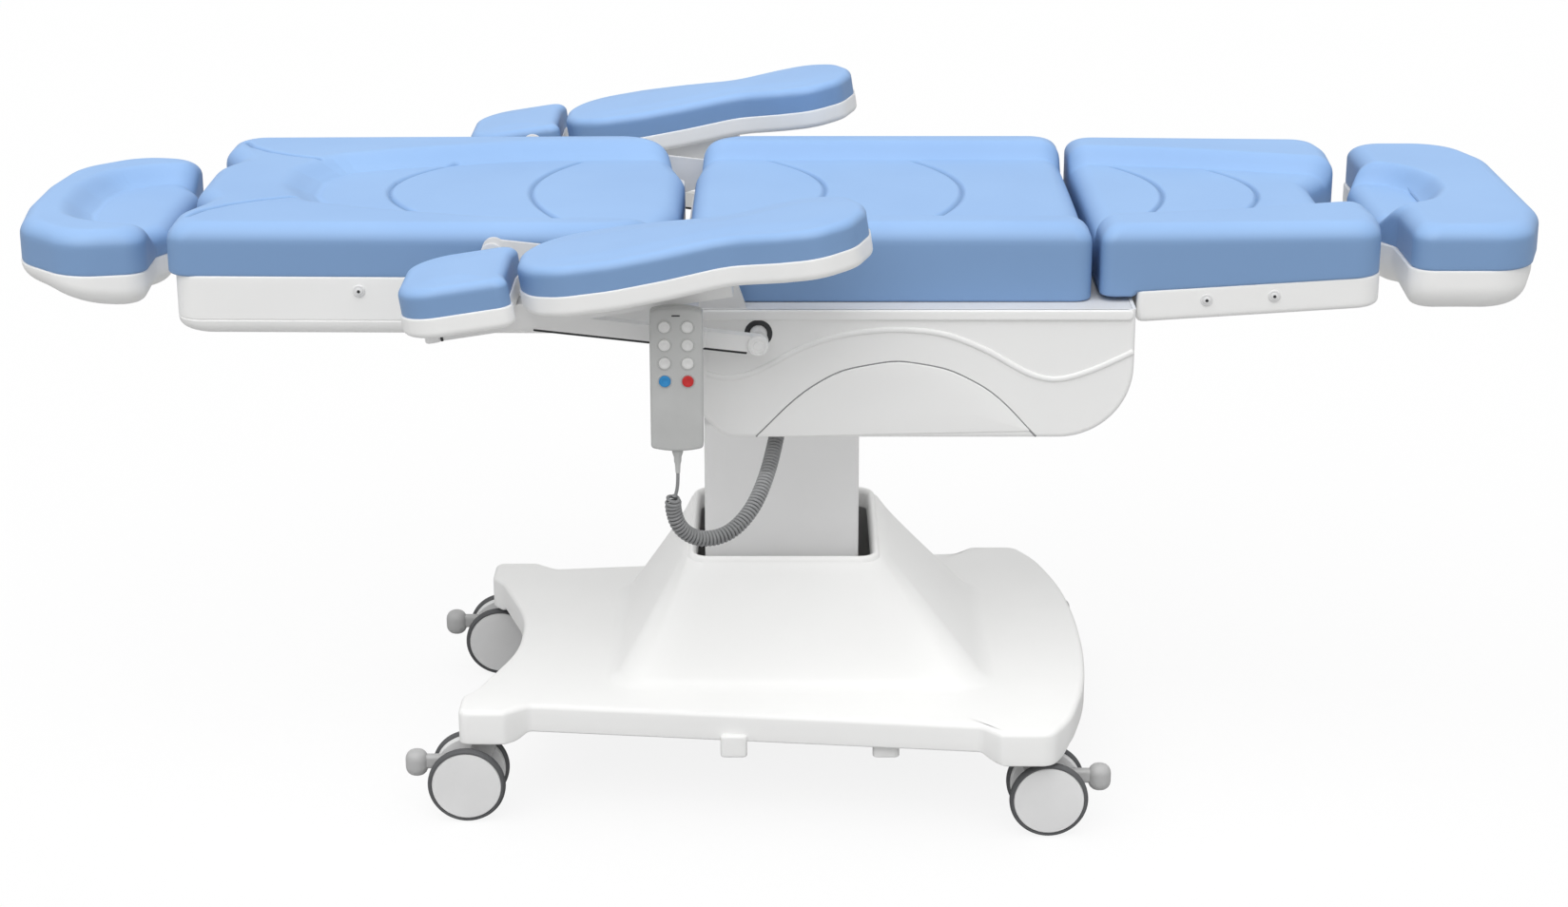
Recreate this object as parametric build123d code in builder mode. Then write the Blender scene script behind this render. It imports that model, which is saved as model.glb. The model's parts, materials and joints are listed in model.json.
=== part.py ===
"""Electric treatment and exam table on casters: every piece in one frame, millimetres, +Z up.

Origin on the floor under the middle of the table, +X towards the foot end, -Y the near side.
"""
import os
from math import atan, cos, degrees, pi, radians, sin, tan

from build123d import *

os.makedirs("parts", exist_ok=True)

# Overall sizes
table_length = 1890.0
seat_width = 530.0
seat_top = 778.0

# Clearances
gap = 0.3                 # between pieces that only rest on or beside each other
running = 0.05            # radial, shaft in hole
wall = 4.0                # moulded shells

# Casters
wheel_diameter = 100.0
wheel_width = 22.0
caster_width = 61.0
caster_trail = 23.0
stem_diameter = 11.0
socket_diameter = 30.0
hood_radius = 53.0
head_caster_x = -372.0
head_caster_y = 244.0
foot_caster_x = 325.0
foot_caster_y = 288.0

# Base
frame_bottom = 108.0
frame_thickness = 12.0
cover_bottom = 112.0
cover_plate_top = 150.0
lobe_bottom = 104.0
lobe_top = 152.0
cowl_top = 312.0
cowl_foot_x = 277.0       # cowl's lower edge, foot side
cowl_head_x = -210.0
cowl_foot_half_width = 195.0
rim_foot_x = 136.0
rim_head_x = -112.0
rim_half_width = 141.0

# Lifting column
column_x = 9.0            # its middle
column_length = 200.0
column_width = 230.0
column_play = 6.0         # round each telescoping stage
sheath_bottom = 215.0
stage_top = 330.0
mast_wall = 5.0

# Seat
seat_head_x = -106.0
seat_foot_x = 378.0
seat_bottom = 691.0
seat_cover_head_x = -115.0
seat_cover_foot_x = 437.0
seat_cover_half_width = 300.0
seat_cover_bottom = 527.0
seat_cover_top = 690.0
seat_plate_top = 689.0
seat_plate_thickness = 5.0

# Back hinge and the armrest parallelogram, in the side view
back_pivot_x, back_pivot_z = -63.0, 728.0
link_pivot_x, link_pivot_z = -19.0, 660.0
arm_pivot_x, arm_pivot_z = -338.0, 759.0
link_end_x = arm_pivot_x + link_pivot_x - back_pivot_x
link_end_z = arm_pivot_z + link_pivot_z - back_pivot_z
arm_plate_y = 272.0       # inner face of the back's side arms
plate_thickness = 6.0
ear_y = 282.0
ear_thickness = 8.0
lug_y = 300.0
link_y = 335.0
link_thickness = 15.0
link_height = 20.0
hinge_pin_diameter = 14.0
arm_pin_diameter = 12.0
link_pin_diameter = 9.0
boss_radius = 14.0
side_shaft_diameter = 18.0

# Back section
back_head_x = -735.0
back_foot_x = -119.0
back_top = 776.0
back_seam = 719.0
back_shell_bottom = 645.0
back_shell_foot_x = -124.0
back_head_half_width = 255.0
back_foot_half_width = 268.0
rail_height = 22.0
rail_width = 30.0

# Leg section
leg_pivot_x, leg_pivot_z = 446.0, 662.0
leg_pin_diameter = 9.0
leg_ear_y = 150.0
leg_head_x = 388.0
leg_foot_x = 745.0
leg_bottom = 695.0
leg_seam = 705.0
leg_top = 775.0
leg_shell_head_x = 442.0
leg_shell_bottom = 667.0
leg_shell_foot_x = 738.0

# Head and foot sections, on rods that slide in guide tubes
rod_diameter = 12.0
rod_y = 60.0
rod_z = 686.0
guide_wall = 3.0
tilt_pin_diameter = 9.0
foot_head_x = 749.0
foot_pivot_x = 771.0
foot_half_width = 245.0
foot_seam = 722.0
foot_shell_bottom = 669.0
foot_top = 776.0
head_foot_x = -747.0
head_pivot_x = -770.0
head_half_width = 215.0
head_seam = 708.0
head_shell_bottom = 664.0
head_top = 765.0

# Armrests, on a plane that rises towards the foot end
arm_slope = 0.157
arm_top_z = 832.0         # pad's top plane above the origin
arm_y = 405.0
arm_pad = 37.0
arm_shell = 24.0
arm_bar = 30.0
arm_bar_y = 355.0         # inner face of the bracket channel
arm_bar_width = 40.0
arm_bar_head_x = -405.0
arm_bar_foot_x = -62.0
arm_end_gap = 5.0

# Handset
handset_x = -114.0
handset_front = -425.0
handset_width = 62.0
handset_depth = 24.0
handset_bottom = 551.0
handset_top = 726.0
button_diameter = 14.0
button_stand = 2.5
button_play = 0.3
button_travel = 1.2
button_depth = 8.0
cord_diameter = 7.0
coil_diameter = 18.0
relief_length = 30.0
relief_top_diameter = 13.0
relief_end_diameter = 8.5

slope_angle = degrees(atan(arm_slope))


def save(part, name):
    """Label a finished piece and write it as its own STEP file."""
    part.label = name
    export_step(part, f"parts/{name}.step")


def mirrored(side, y):
    """Place on the far side for side 1 and on the near side for side -1."""
    return side * y


def side_plane(y):
    """Vertical plane facing -Y, so that sketch x is +X and sketch y is +Z."""
    return Plane(origin=(0, y, 0), x_dir=(1, 0, 0), z_dir=(0, -1, 0))


def y_span(side, inner, outer):
    """The face nearer +Y of a piece between two distances from the middle, and its width."""
    return (outer if side > 0 else -inner), outer - inner


def arm_plane(depth):
    """The armrests' plane, the given depth below their top."""
    angle = radians(slope_angle)
    normal = Vector(-sin(angle), 0, cos(angle))
    return Plane(
        origin=Vector(0, 0, arm_top_z) - normal * depth,
        x_dir=(cos(angle), 0, sin(angle)),
        z_dir=normal,
    )


def arm_x(x):
    """Distance along the armrests' plane of a point at x."""
    return x / cos(radians(slope_angle))


# ---------------------------------------------------------------- casters
casters = {
    "head_near": (head_caster_x, -head_caster_y, -1),
    "head_far": (head_caster_x, head_caster_y, -1),
    "foot_near": (foot_caster_x, -foot_caster_y, 1),
    "foot_far": (foot_caster_x, foot_caster_y, 1),
}
wheel_radius = wheel_diameter / 2
web_half = caster_width / 2 - wheel_width - 1.0
axle_radius = 5.0
hub_depth = 5.0
pedal_pivot_radius = 3.0
pedal_pivot_x = 34.0
pedal_pivot_z = 82.0

for place, (stem_x, stem_y, outward) in casters.items():
    wheel_x = stem_x + outward * caster_trail

    # Fork: a web between the wheels, a hood over them and the swivel stem
    with BuildPart() as fork:
        with BuildSketch(side_plane(stem_y + web_half)):
            with Locations((wheel_x, wheel_radius)):
                Circle(hood_radius)
            with Locations((wheel_x, wheel_radius - hood_radius)):
                Rectangle(2 * hood_radius, 2 * hood_radius + 12, mode=Mode.SUBTRACT)
            with Locations((wheel_x, wheel_radius)):
                Circle(16)
            with Locations(((wheel_x + stem_x) / 2, 2 * wheel_radius - 18)):
                Rectangle(2 * caster_trail + 8, 32)
        extrude(amount=2 * web_half)
        with BuildSketch(side_plane(stem_y + caster_width / 2)):
            with Locations((wheel_x, wheel_radius)):
                Circle(hood_radius)
                Circle(wheel_radius + 1.2, mode=Mode.SUBTRACT)
            with Locations((wheel_x, wheel_radius - hood_radius)):
                Rectangle(4 * hood_radius, 2 * hood_radius + 24, mode=Mode.SUBTRACT)
        extrude(amount=caster_width)
        with BuildSketch(side_plane(stem_y)):
            with Locations((wheel_x, wheel_radius)):
                Circle(axle_radius + running)
        extrude(amount=caster_width, both=True, mode=Mode.SUBTRACT)
        with BuildSketch(side_plane(stem_y)):
            with Locations((wheel_x + outward * pedal_pivot_x, pedal_pivot_z)):
                Circle(pedal_pivot_radius + running)
        extrude(amount=caster_width, both=True, mode=Mode.SUBTRACT)
        for side in (-1, 1):
            face, width = y_span(side, web_half, web_half + 1.5)
            with BuildSketch(side_plane(stem_y + face)):
                with Locations((wheel_x + outward * (pedal_pivot_x + 12), 2 * wheel_radius - 26)):
                    Rectangle(36, 36)
            extrude(amount=width, mode=Mode.SUBTRACT)
        with BuildSketch(Plane.XY.offset(2 * wheel_radius - 12)):
            with Locations((stem_x, stem_y)):
                Circle(web_half)
        extrude(amount=frame_bottom - gap - 2 * wheel_radius + 12)
        with BuildSketch(Plane.XY.offset(2 * wheel_radius)):
            with Locations((stem_x, stem_y)):
                Circle(stem_diameter / 2)
        extrude(amount=frame_bottom + frame_thickness + 14 - 2 * wheel_radius)
    save(fork.part, f"caster_fork_{place}")

    # Twin wheels on one axle
    with BuildPart() as wheels:
        for side in (-1, 1):
            face, width = y_span(side, caster_width / 2 - wheel_width, caster_width / 2)
            with BuildSketch(side_plane(stem_y + face)):
                with Locations((wheel_x, wheel_radius)):
                    Circle(wheel_radius)
            extrude(amount=width)
        fillet(wheels.edges().filter_by(GeomType.CIRCLE), 4)
        with BuildSketch(side_plane(stem_y + caster_width / 2 - hub_depth)):
            with Locations((wheel_x, wheel_radius)):
                Circle(axle_radius)
        extrude(amount=caster_width - 2 * hub_depth)
    save(wheels.part, f"caster_wheels_{place}")

    # Brake pedal: a cross pin in the web and a tab that reaches out past the wheel
    with BuildPart() as pedal:
        with BuildSketch(side_plane(stem_y + web_half + 0.9)):
            with Locations((wheel_x + outward * pedal_pivot_x, pedal_pivot_z)):
                Circle(pedal_pivot_radius)
        extrude(amount=2 * (web_half + 0.9))
        for side in (-1, 1):
            face, width = y_span(side, web_half + gap, web_half + 0.9)
            with BuildSketch(side_plane(stem_y + face)):
                with Locations((wheel_x + outward * pedal_pivot_x, pedal_pivot_z)):
                    Circle(5)
                with BuildLine():
                    Polyline(
                        (wheel_x + outward * pedal_pivot_x, pedal_pivot_z + 5),
                        (wheel_x + outward * (wheel_radius + 14), 75),
                        (wheel_x + outward * (wheel_radius + 14), 65),
                        (wheel_x + outward * pedal_pivot_x, pedal_pivot_z - 5),
                        close=True,
                    )
                make_face()
            extrude(amount=width)
        with BuildSketch(side_plane(stem_y + 15)):
            with Locations((wheel_x + outward * (wheel_radius + 18), 67)):
                RectangleRounded(24, 18, 8)
        extrude(amount=30)
    save(pedal.part, f"caster_pedal_{place}")

# ---------------------------------------------------------------- base
post_diameter = 24.0
post_places = [(-260.0, -130.0), (-260.0, 130.0), (305.0, -130.0), (305.0, 130.0)]
strut_width = 28.0
socket_height = 16.0
stems = [(stem_x, stem_y) for stem_x, stem_y, outward in casters.values()]
frame_top = frame_bottom + frame_thickness

with BuildPart() as base_frame:
    with BuildSketch(Plane.XY.offset(frame_bottom)):
        with Locations((-5, 0)):
            Rectangle(660, 320)
        for stem_x, stem_y in stems:
            root = (240.0 if stem_x > 0 else -240.0, 110.0 if stem_y > 0 else -110.0)
            SlotCenterPoint(root, (stem_x, stem_y), strut_width)
    extrude(amount=frame_thickness)
    with BuildSketch(Plane.XY.offset(frame_top)):
        with Locations(*stems):
            Circle(socket_diameter / 2)
    extrude(amount=socket_height)
    with Locations(*[(stem_x, stem_y, frame_top + socket_height) for stem_x, stem_y in stems]):
        Hole(stem_diameter / 2 + running, depth=frame_thickness + socket_height)
    with BuildSketch(Plane.XY.offset(frame_top)):
        with Locations(*post_places):
            Circle(post_diameter / 2)
    extrude(amount=cover_plate_top - wall - gap - frame_top)
save(base_frame.part, "base_frame")

corner_lobes = [
    (head_caster_x + 2, 236.0, 58.0, 60.0),
    (foot_caster_x - 9, 300.0, 66.0, 70.0),
]
edge_slope = (322.0 - 239.0) / (330.0 + 392.0)


def cover_outline(inset):
    """Plan of the base cover: concave head end, flared long edges, convex foot end."""
    head_x, foot_x = -392.0 + inset, 330.0 - inset
    head_y, foot_y = 239.0 - inset, 322.0 - inset
    with BuildLine() as outline:
        ThreePointArc((head_x, -head_y), (-346.0 + inset, 0), (head_x, head_y))
        Line((head_x, head_y), (foot_x, foot_y))
        ThreePointArc((foot_x, foot_y), (412.0 - inset, 0), (foot_x, -foot_y))
        Line((foot_x, -foot_y), (head_x, -head_y))
    return outline.edges()


with BuildPart() as base_cover:
    with BuildSketch(Plane.XY.offset(cover_bottom)):
        make_face(cover_outline(0))
    extrude(amount=cover_plate_top - cover_bottom)
    for lobe_x, lobe_y, lobe_length, lobe_width in corner_lobes:
        with BuildSketch(Plane.XY.offset(lobe_bottom)):
            with Locations((lobe_x, lobe_y), (lobe_x, -lobe_y)):
                RectangleRounded(lobe_length, lobe_width, 14)
        extrude(amount=lobe_top - lobe_bottom)
    with BuildSketch(Plane.XY.offset(cover_plate_top - wall)):
        with Locations(((cowl_foot_x + cowl_head_x) / 2, 0)):
            RectangleRounded(cowl_foot_x - cowl_head_x, 2 * cowl_foot_half_width, 30)
    with BuildSketch(Plane.XY.offset(cowl_top)):
        with Locations(((rim_foot_x + rim_head_x) / 2, 0)):
            RectangleRounded(rim_foot_x - rim_head_x, 2 * rim_half_width, 20)
    loft()
    # Hollow inside
    with BuildSketch(Plane.XY.offset(lobe_bottom)):
        make_face(cover_outline(wall))
    extrude(amount=cover_plate_top - wall - lobe_bottom, mode=Mode.SUBTRACT)
    for lobe_x, lobe_y, lobe_length, lobe_width in corner_lobes:
        with BuildSketch(Plane.XY.offset(lobe_bottom)):
            with Locations((lobe_x, lobe_y), (lobe_x, -lobe_y)):
                RectangleRounded(lobe_length - 2 * wall, lobe_width - 2 * wall, 10)
        extrude(amount=lobe_top - wall - lobe_bottom, mode=Mode.SUBTRACT)
    with BuildSketch(Plane.XY.offset(cover_plate_top - wall - 1)):
        with Locations(((cowl_foot_x + cowl_head_x) / 2, 0)):
            RectangleRounded(
                cowl_foot_x - cowl_head_x - 3 * wall, 2 * cowl_foot_half_width - 3 * wall, 26)
    with BuildSketch(Plane.XY.offset(cowl_top + 1)):
        with Locations(((rim_foot_x + rim_head_x) / 2, 0)):
            RectangleRounded(rim_foot_x - rim_head_x - 3 * wall, 2 * rim_half_width - 3 * wall, 14)
    loft(mode=Mode.SUBTRACT)
    # Two small tabs under each long edge
    for side in (-1, 1):
        for tab_x in (-52.0, 142.0):
            tab_y = mirrored(side, 239.0 + edge_slope * (tab_x + 392.0) - 5)
            with BuildSketch(Plane.XY.offset(90)):
                with Locations((tab_x, tab_y)):
                    Rectangle(34, 3)
            extrude(amount=cover_plate_top - 90 - 10)
save(base_cover.part, "base_cover")

stage_length = column_length - 2 * wall - 2 * column_play
stage_width = column_width - 2 * wall - 2 * column_play
mast_length = stage_length - 2 * mast_wall - 2 * column_play
mast_width = stage_width - 2 * mast_wall - 2 * column_play


def square_tube(length, width, thickness, bottom, top):
    """Upright rectangular tube on the column's axis."""
    with BuildPart() as tube:
        with BuildSketch(Plane.XY.offset(bottom)):
            with Locations((column_x, 0)):
                RectangleRounded(length, width, 8)
                RectangleRounded(length - 2 * thickness, width - 2 * thickness, 5, mode=Mode.SUBTRACT)
        extrude(amount=top - bottom)
    return tube.part


# Fixed stage, with slide pads near its top that guide the sheath
pad_height, pad_width = 10.0, 60.0
with BuildPart() as outer_stage:
    add(square_tube(stage_length, stage_width, mast_wall, frame_top + gap, stage_top))
    with BuildSketch(Plane.XY.offset(stage_top - pad_height)):
        with Locations((column_x, 0)):
            Rectangle(stage_length + 2 * (column_play - gap), pad_width)
            Rectangle(pad_width, stage_width + 2 * (column_play - gap))
            Rectangle(stage_length - mast_wall, stage_width - mast_wall, mode=Mode.SUBTRACT)
    extrude(amount=pad_height)
save(outer_stage.part, "lift_outer_stage")
save(square_tube(column_length, column_width, wall, sheath_bottom, seat_cover_bottom + wall + 2),
     "column_sheath")
save(square_tube(mast_length, mast_width, mast_wall, sheath_bottom,
                 seat_plate_top - seat_plate_thickness - gap), "lift_inner_stage")

motor_diameter = 60.0
with BuildPart() as lift_motor:
    with BuildSketch(side_plane(60)):
        with Locations((175, frame_top + gap + motor_diameter / 2)):
            Circle(motor_diameter / 2)
            with Locations((0, -motor_diameter / 4)):
                Rectangle(motor_diameter, motor_diameter / 2)
    extrude(amount=120)
    with BuildSketch(side_plane(75)):
        with Locations((175, frame_top + gap + motor_diameter / 2)):
            Circle(12)
    extrude(amount=15)
save(lift_motor.part, "lift_motor")

# ---------------------------------------------------------------- seat
cover_corner_radius = 90.0


def seat_cover_side(inset):
    """Side view of the seat cover: large lower corner at the foot end, cut one at the head end."""
    head_x, foot_x = seat_cover_head_x + inset, seat_cover_foot_x - inset
    low = seat_cover_bottom + inset
    top = seat_cover_top + (1 if inset else 0)
    with BuildLine() as outline:
        FilletPolyline(
            (head_x, top), (head_x, low + 58), (head_x + 52, low), (foot_x, low), (foot_x, top),
            radius=[30, 40, cover_corner_radius - inset],
        )
        Line((foot_x, top), (head_x, top))
    return outline.edges()


cover_hole_radius = 17.0
leg_slot_y = leg_ear_y + 11.0
with BuildPart() as seat_cover:
    with BuildSketch(side_plane(seat_cover_half_width)):
        make_face(seat_cover_side(0))
    extrude(amount=2 * seat_cover_half_width)
    fillet(seat_cover.faces().filter_by(Axis.Y).edges().group_by(Axis.Z)[0], 6)
    with BuildSketch(side_plane(seat_cover_half_width - wall)):
        make_face(seat_cover_side(wall))
    extrude(amount=2 * (seat_cover_half_width - wall), mode=Mode.SUBTRACT)
    with BuildSketch(Plane.XY.offset(seat_cover_bottom - 1)):
        with Locations((column_x, 0)):
            RectangleRounded(column_length + 1, column_width + 1, 8.5)
    extrude(amount=wall + 26, mode=Mode.SUBTRACT)
    with BuildSketch(side_plane(seat_cover_half_width + 1)):
        with Locations((link_pivot_x, link_pivot_z)):
            Circle(cover_hole_radius)
    extrude(amount=2 * seat_cover_half_width + 2, mode=Mode.SUBTRACT)
    for side in (-1, 1):
        with BuildSketch(Plane.XY.offset(leg_pivot_z - 12)):
            with Locations((seat_cover_foot_x - wall / 2, mirrored(side, leg_slot_y + 3))):
                Rectangle(3 * wall, 12)
        extrude(amount=seat_cover_top - leg_pivot_z + 14, mode=Mode.SUBTRACT)
save(seat_cover.part, "seat_cover")

shaft_plate_y = 236.0
with BuildPart() as seat_frame:
    with BuildSketch(Plane.XY.offset(seat_plate_top - seat_plate_thickness)):
        with Locations(((seat_cover_head_x + seat_cover_foot_x) / 2, 0)):
            Rectangle(seat_cover_foot_x - seat_cover_head_x - 2 * wall - 2 * gap,
                      2 * (seat_cover_half_width - wall - gap))
    extrude(amount=seat_plate_thickness)
    for side in (-1, 1):
        # Ear that carries the back's hinge pin
        face, width = y_span(side, ear_y, ear_y + ear_thickness)
        with BuildSketch(side_plane(face)):
            with Locations((back_pivot_x, back_pivot_z)):
                Circle(boss_radius + 2)
            with BuildLine():
                Polyline(
                    (back_pivot_x - 30, seat_plate_top - 1),
                    (back_pivot_x - boss_radius - 2, back_pivot_z),
                    (back_pivot_x + boss_radius + 2, back_pivot_z),
                    (back_pivot_x + 30, seat_plate_top - 1),
                    close=True,
                )
            make_face()
        extrude(amount=width)
        face, width = y_span(side, arm_plate_y, ear_y + 1)
        with BuildSketch(side_plane(face)):
            with Locations((back_pivot_x, back_pivot_z)):
                Circle(hinge_pin_diameter / 2)
        extrude(amount=width)
        # Plate that carries the link shaft
        face, width = y_span(side, shaft_plate_y, shaft_plate_y + plate_thickness)
        with BuildSketch(side_plane(face)):
            with Locations((link_pivot_x, link_pivot_z)):
                Circle(boss_radius + 4)
            with Locations((link_pivot_x, (link_pivot_z + seat_plate_top - 1) / 2)):
                Rectangle(60, seat_plate_top - 1 - link_pivot_z)
            with Locations((link_pivot_x, link_pivot_z)):
                Circle(side_shaft_diameter / 2 + running, mode=Mode.SUBTRACT)
        extrude(amount=width)
        # Ear and pin of the leg hinge
        face, width = y_span(side, leg_slot_y, leg_slot_y + 6)
        with BuildSketch(side_plane(face)):
            with Locations((leg_pivot_x, leg_pivot_z)):
                Circle(8)
            with BuildLine():
                Polyline(
                    (leg_pivot_x - 60, seat_plate_top - 1),
                    (leg_pivot_x - 16, seat_plate_top - 1),
                    (leg_pivot_x + 5, leg_pivot_z + 6),
                    (leg_pivot_x - 5, leg_pivot_z - 6),
                    close=True,
                )
            make_face()
        extrude(amount=width)
        face, width = y_span(side, leg_ear_y - 1, leg_slot_y + 1)
        with BuildSketch(side_plane(face)):
            with Locations((leg_pivot_x, leg_pivot_z)):
                Circle(leg_pin_diameter / 2)
        extrude(amount=width)
save(seat_frame.part, "seat_frame")


def padded_block(outline, radii, bottom, top, edge):
    """Closed solid of a cushion: a rounded plan carried up, with its top edge rounded."""
    with BuildPart() as block:
        with BuildSketch(Plane.XY.offset(bottom)):
            with BuildLine():
                FilletPolyline(*outline, radius=radii, close=True)
            make_face()
        extrude(amount=top - bottom)
        fillet(block.edges().group_by(Axis.Z)[-1], edge)
    return block.part


def two_sided(half):
    """Close an outline given for +Y by its mirror image."""
    return half + [(x, -y) for x, y in reversed(half)]


seat_half_width = seat_width / 2
save(padded_block(
    two_sided([
        (seat_foot_x, seat_half_width), (seat_head_x + 18, seat_half_width), (seat_head_x, 130.0),
    ]),
    [35, 35, 60, 60, 35, 35], seat_plate_top + gap, seat_top, 28), "seat_cushion")

control_length, control_width, control_height = 170.0, 130.0, 48.0
with BuildPart() as control_box:
    with BuildSketch(Plane.XY.offset(seat_cover_bottom + wall + gap)):
        with Locations((245, -60)):
            RectangleRounded(control_length, control_width, 6)
    extrude(amount=control_height)
    fillet(control_box.edges().group_by(Axis.Z)[-1], 3)
save(control_box.part, "control_box")

boss_face_y = link_y + link_thickness
with BuildPart() as side_shafts:
    for side in (-1, 1):
        for radius, inner, outer in (
            (side_shaft_diameter / 2, shaft_plate_y - 4, link_y - gap),
            (boss_radius, shaft_plate_y + plate_thickness + gap, shaft_plate_y + plate_thickness + 4),
            (link_pin_diameter / 2, link_y - 1, boss_face_y + 1),
            (11.0, boss_face_y + gap, boss_face_y + 4),
        ):
            face, width = y_span(side, inner, outer)
            with BuildSketch(side_plane(face)):
                with Locations((link_pivot_x, link_pivot_z)):
                    Circle(radius)
            extrude(amount=width)
save(side_shafts.part, "link_shafts")

actuator_diameter = 44.0
actuator_y = 190.0


def actuator(side, motor_x, rod_x):
    """Linear drive under the seat plate: motor, tube and a rod that ends in an eye."""
    z = seat_plate_top - seat_plate_thickness - gap - actuator_diameter / 2
    low, high = min(motor_x, rod_x), max(motor_x, rod_x)
    reach = 1 if rod_x > motor_x else -1
    with BuildPart() as drive:
        with BuildSketch(Plane(origin=(motor_x, mirrored(side, actuator_y), z), x_dir=(0, 1, 0),
                               z_dir=(reach, 0, 0))):
            Circle(actuator_diameter / 2)
        extrude(amount=(high - low) * 0.7)
        with BuildSketch(Plane(origin=(motor_x, mirrored(side, actuator_y), z), x_dir=(0, 1, 0),
                               z_dir=(reach, 0, 0))):
            Circle(9)
        extrude(amount=high - low)
        with BuildSketch(Plane(origin=(motor_x + reach * 40, mirrored(side, actuator_y), z),
                               x_dir=(1, 0, 0), z_dir=(0, 0, -1))):
            Circle(26)
        extrude(amount=90)
    return drive.part


save(actuator(1, 210.0, -102.0), "back_actuator")
save(actuator(-1, 120.0, 424.0), "leg_actuator")

# ---------------------------------------------------------------- back section
back_half_outline = [
    (back_head_x, back_head_half_width), (back_foot_x - 62, back_foot_half_width),
    (back_foot_x - 26, 222.0), (back_foot_x, 100.0),
]
back_half_outline.reverse()


def tray(half, radii, bottom, seam, lower_edge, thickness=wall):
    """Moulded shell open at the top, with its lower edge rounded."""
    outline = two_sided(half)
    with BuildPart() as shell:
        with BuildSketch(Plane.XY.offset(bottom)):
            with BuildLine():
                FilletPolyline(*outline, radius=radii, close=True)
            make_face()
        extrude(amount=seam - bottom)
        fillet(shell.edges().group_by(Axis.Z)[0], lower_edge)
        offset(amount=-thickness, openings=shell.faces().sort_by(Axis.Z)[-1], kind=Kind.INTERSECTION)
    return shell.part


cross_tube_x = -215.0
cross_tube_z = 690.0
cross_tube_diameter = 24.0
back_shell_half = [
    (back_shell_foot_x, back_foot_half_width - 2), (back_head_x + 6, back_head_half_width - 2),
]
with BuildPart() as back_shell:
    add(tray(back_shell_half, [20, 45, 45, 20], back_shell_bottom, back_seam - gap, 18))
    with BuildSketch(side_plane(back_foot_half_width + 10)):
        with Locations((cross_tube_x, cross_tube_z)):
            Circle(cross_tube_diameter / 2 + 0.5)
    extrude(amount=2 * (back_foot_half_width + 10), mode=Mode.SUBTRACT)
    with BuildSketch(Plane(origin=(back_head_x - 5, 0, rod_z), x_dir=(0, 1, 0), z_dir=(1, 0, 0))):
        with Locations((rod_y, 0), (-rod_y, 0)):
            Circle(rod_diameter / 2 + 1)
    extrude(amount=30, mode=Mode.SUBTRACT)
save(back_shell.part, "back_shell")

back_outline = two_sided(back_half_outline)
save(padded_block(back_outline, [60, 50, 30, 40, 40, 30, 50, 60], back_seam, back_top, 28),
     "back_cushion")


def round_pair(start_x, end_x, radius):
    """Two round bars along X at the rods' places: rods, guide tubes or their bores."""
    with BuildPart() as pair:
        with BuildSketch(Plane(origin=(start_x, 0, rod_z), x_dir=(0, 1, 0), z_dir=(1, 0, 0))):
            with Locations((rod_y, 0), (-rod_y, 0)):
                Circle(radius)
        extrude(amount=end_x - start_x)
    return pair.part


back_rail_y = 180.0
back_bars = (back_head_x + 60, -420.0)
with BuildPart() as back_frame:
    add(round_pair(back_head_x + 45, -470, rod_diameter / 2 + guide_wall))
    for rail_y in (-back_rail_y, back_rail_y):
        with BuildSketch(Plane.XY.offset(back_seam - 2 * gap - rail_height)):
            with Locations(((back_head_x + 45 + back_shell_foot_x - 20) / 2, rail_y)):
                Rectangle(back_shell_foot_x - back_head_x - 65, rail_width)
        extrude(amount=rail_height)
    for bar_x in back_bars:
        with BuildSketch(Plane.XY.offset(rod_z - 8)):
            with Locations((bar_x, 0)):
                Rectangle(rail_width, 2 * back_rail_y + rail_width)
        extrude(amount=back_seam - 2 * gap - rod_z + 8)
    with BuildSketch(side_plane(arm_plate_y + 1)):
        with Locations((cross_tube_x, cross_tube_z)):
            Circle(cross_tube_diameter / 2)
    extrude(amount=2 * arm_plate_y + 2)
    add(round_pair(back_head_x + 44, -469, rod_diameter / 2 + running), mode=Mode.SUBTRACT)
    for side in (-1, 1):
        face, width = y_span(side, arm_plate_y, arm_plate_y + plate_thickness)
        with BuildSketch(side_plane(face)):
            with Locations((back_pivot_x, back_pivot_z), (arm_pivot_x, arm_pivot_z)):
                Circle(boss_radius)
            with Locations((cross_tube_x, cross_tube_z)):
                Circle(boss_radius + 4)
            with BuildLine():
                Polyline(
                    (back_pivot_x, back_pivot_z + boss_radius - 2),
                    (arm_pivot_x, arm_pivot_z + boss_radius - 2),
                    (arm_pivot_x - boss_radius + 2, arm_pivot_z - 4),
                    (cross_tube_x - boss_radius - 2, cross_tube_z - 6),
                    (cross_tube_x + 8, cross_tube_z - boss_radius - 2),
                    (back_pivot_x - 4, back_pivot_z - boss_radius + 1),
                    close=True,
                )
            make_face()
            with Locations((back_pivot_x, back_pivot_z)):
                Circle(hinge_pin_diameter / 2 + running, mode=Mode.SUBTRACT)
            with Locations((arm_pivot_x, arm_pivot_z)):
                Circle(arm_pin_diameter / 2 + running, mode=Mode.SUBTRACT)
        extrude(amount=width)
save(back_frame.part, "back_frame")

screw_diameter = 8.0


def shell_screws(places, half_width):
    """Screw heads that stand on a shell's side walls, as separate solids."""
    with BuildPart() as screws:
        for side in (-1, 1):
            for x, z in places:
                edge = half_width(x)
                face, width = y_span(side, edge + 0.35, edge + 3.1)
                with BuildSketch(side_plane(face)):
                    with Locations((x, z)):
                        Circle(screw_diameter / 2)
                extrude(amount=width)
    return screws.part


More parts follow.
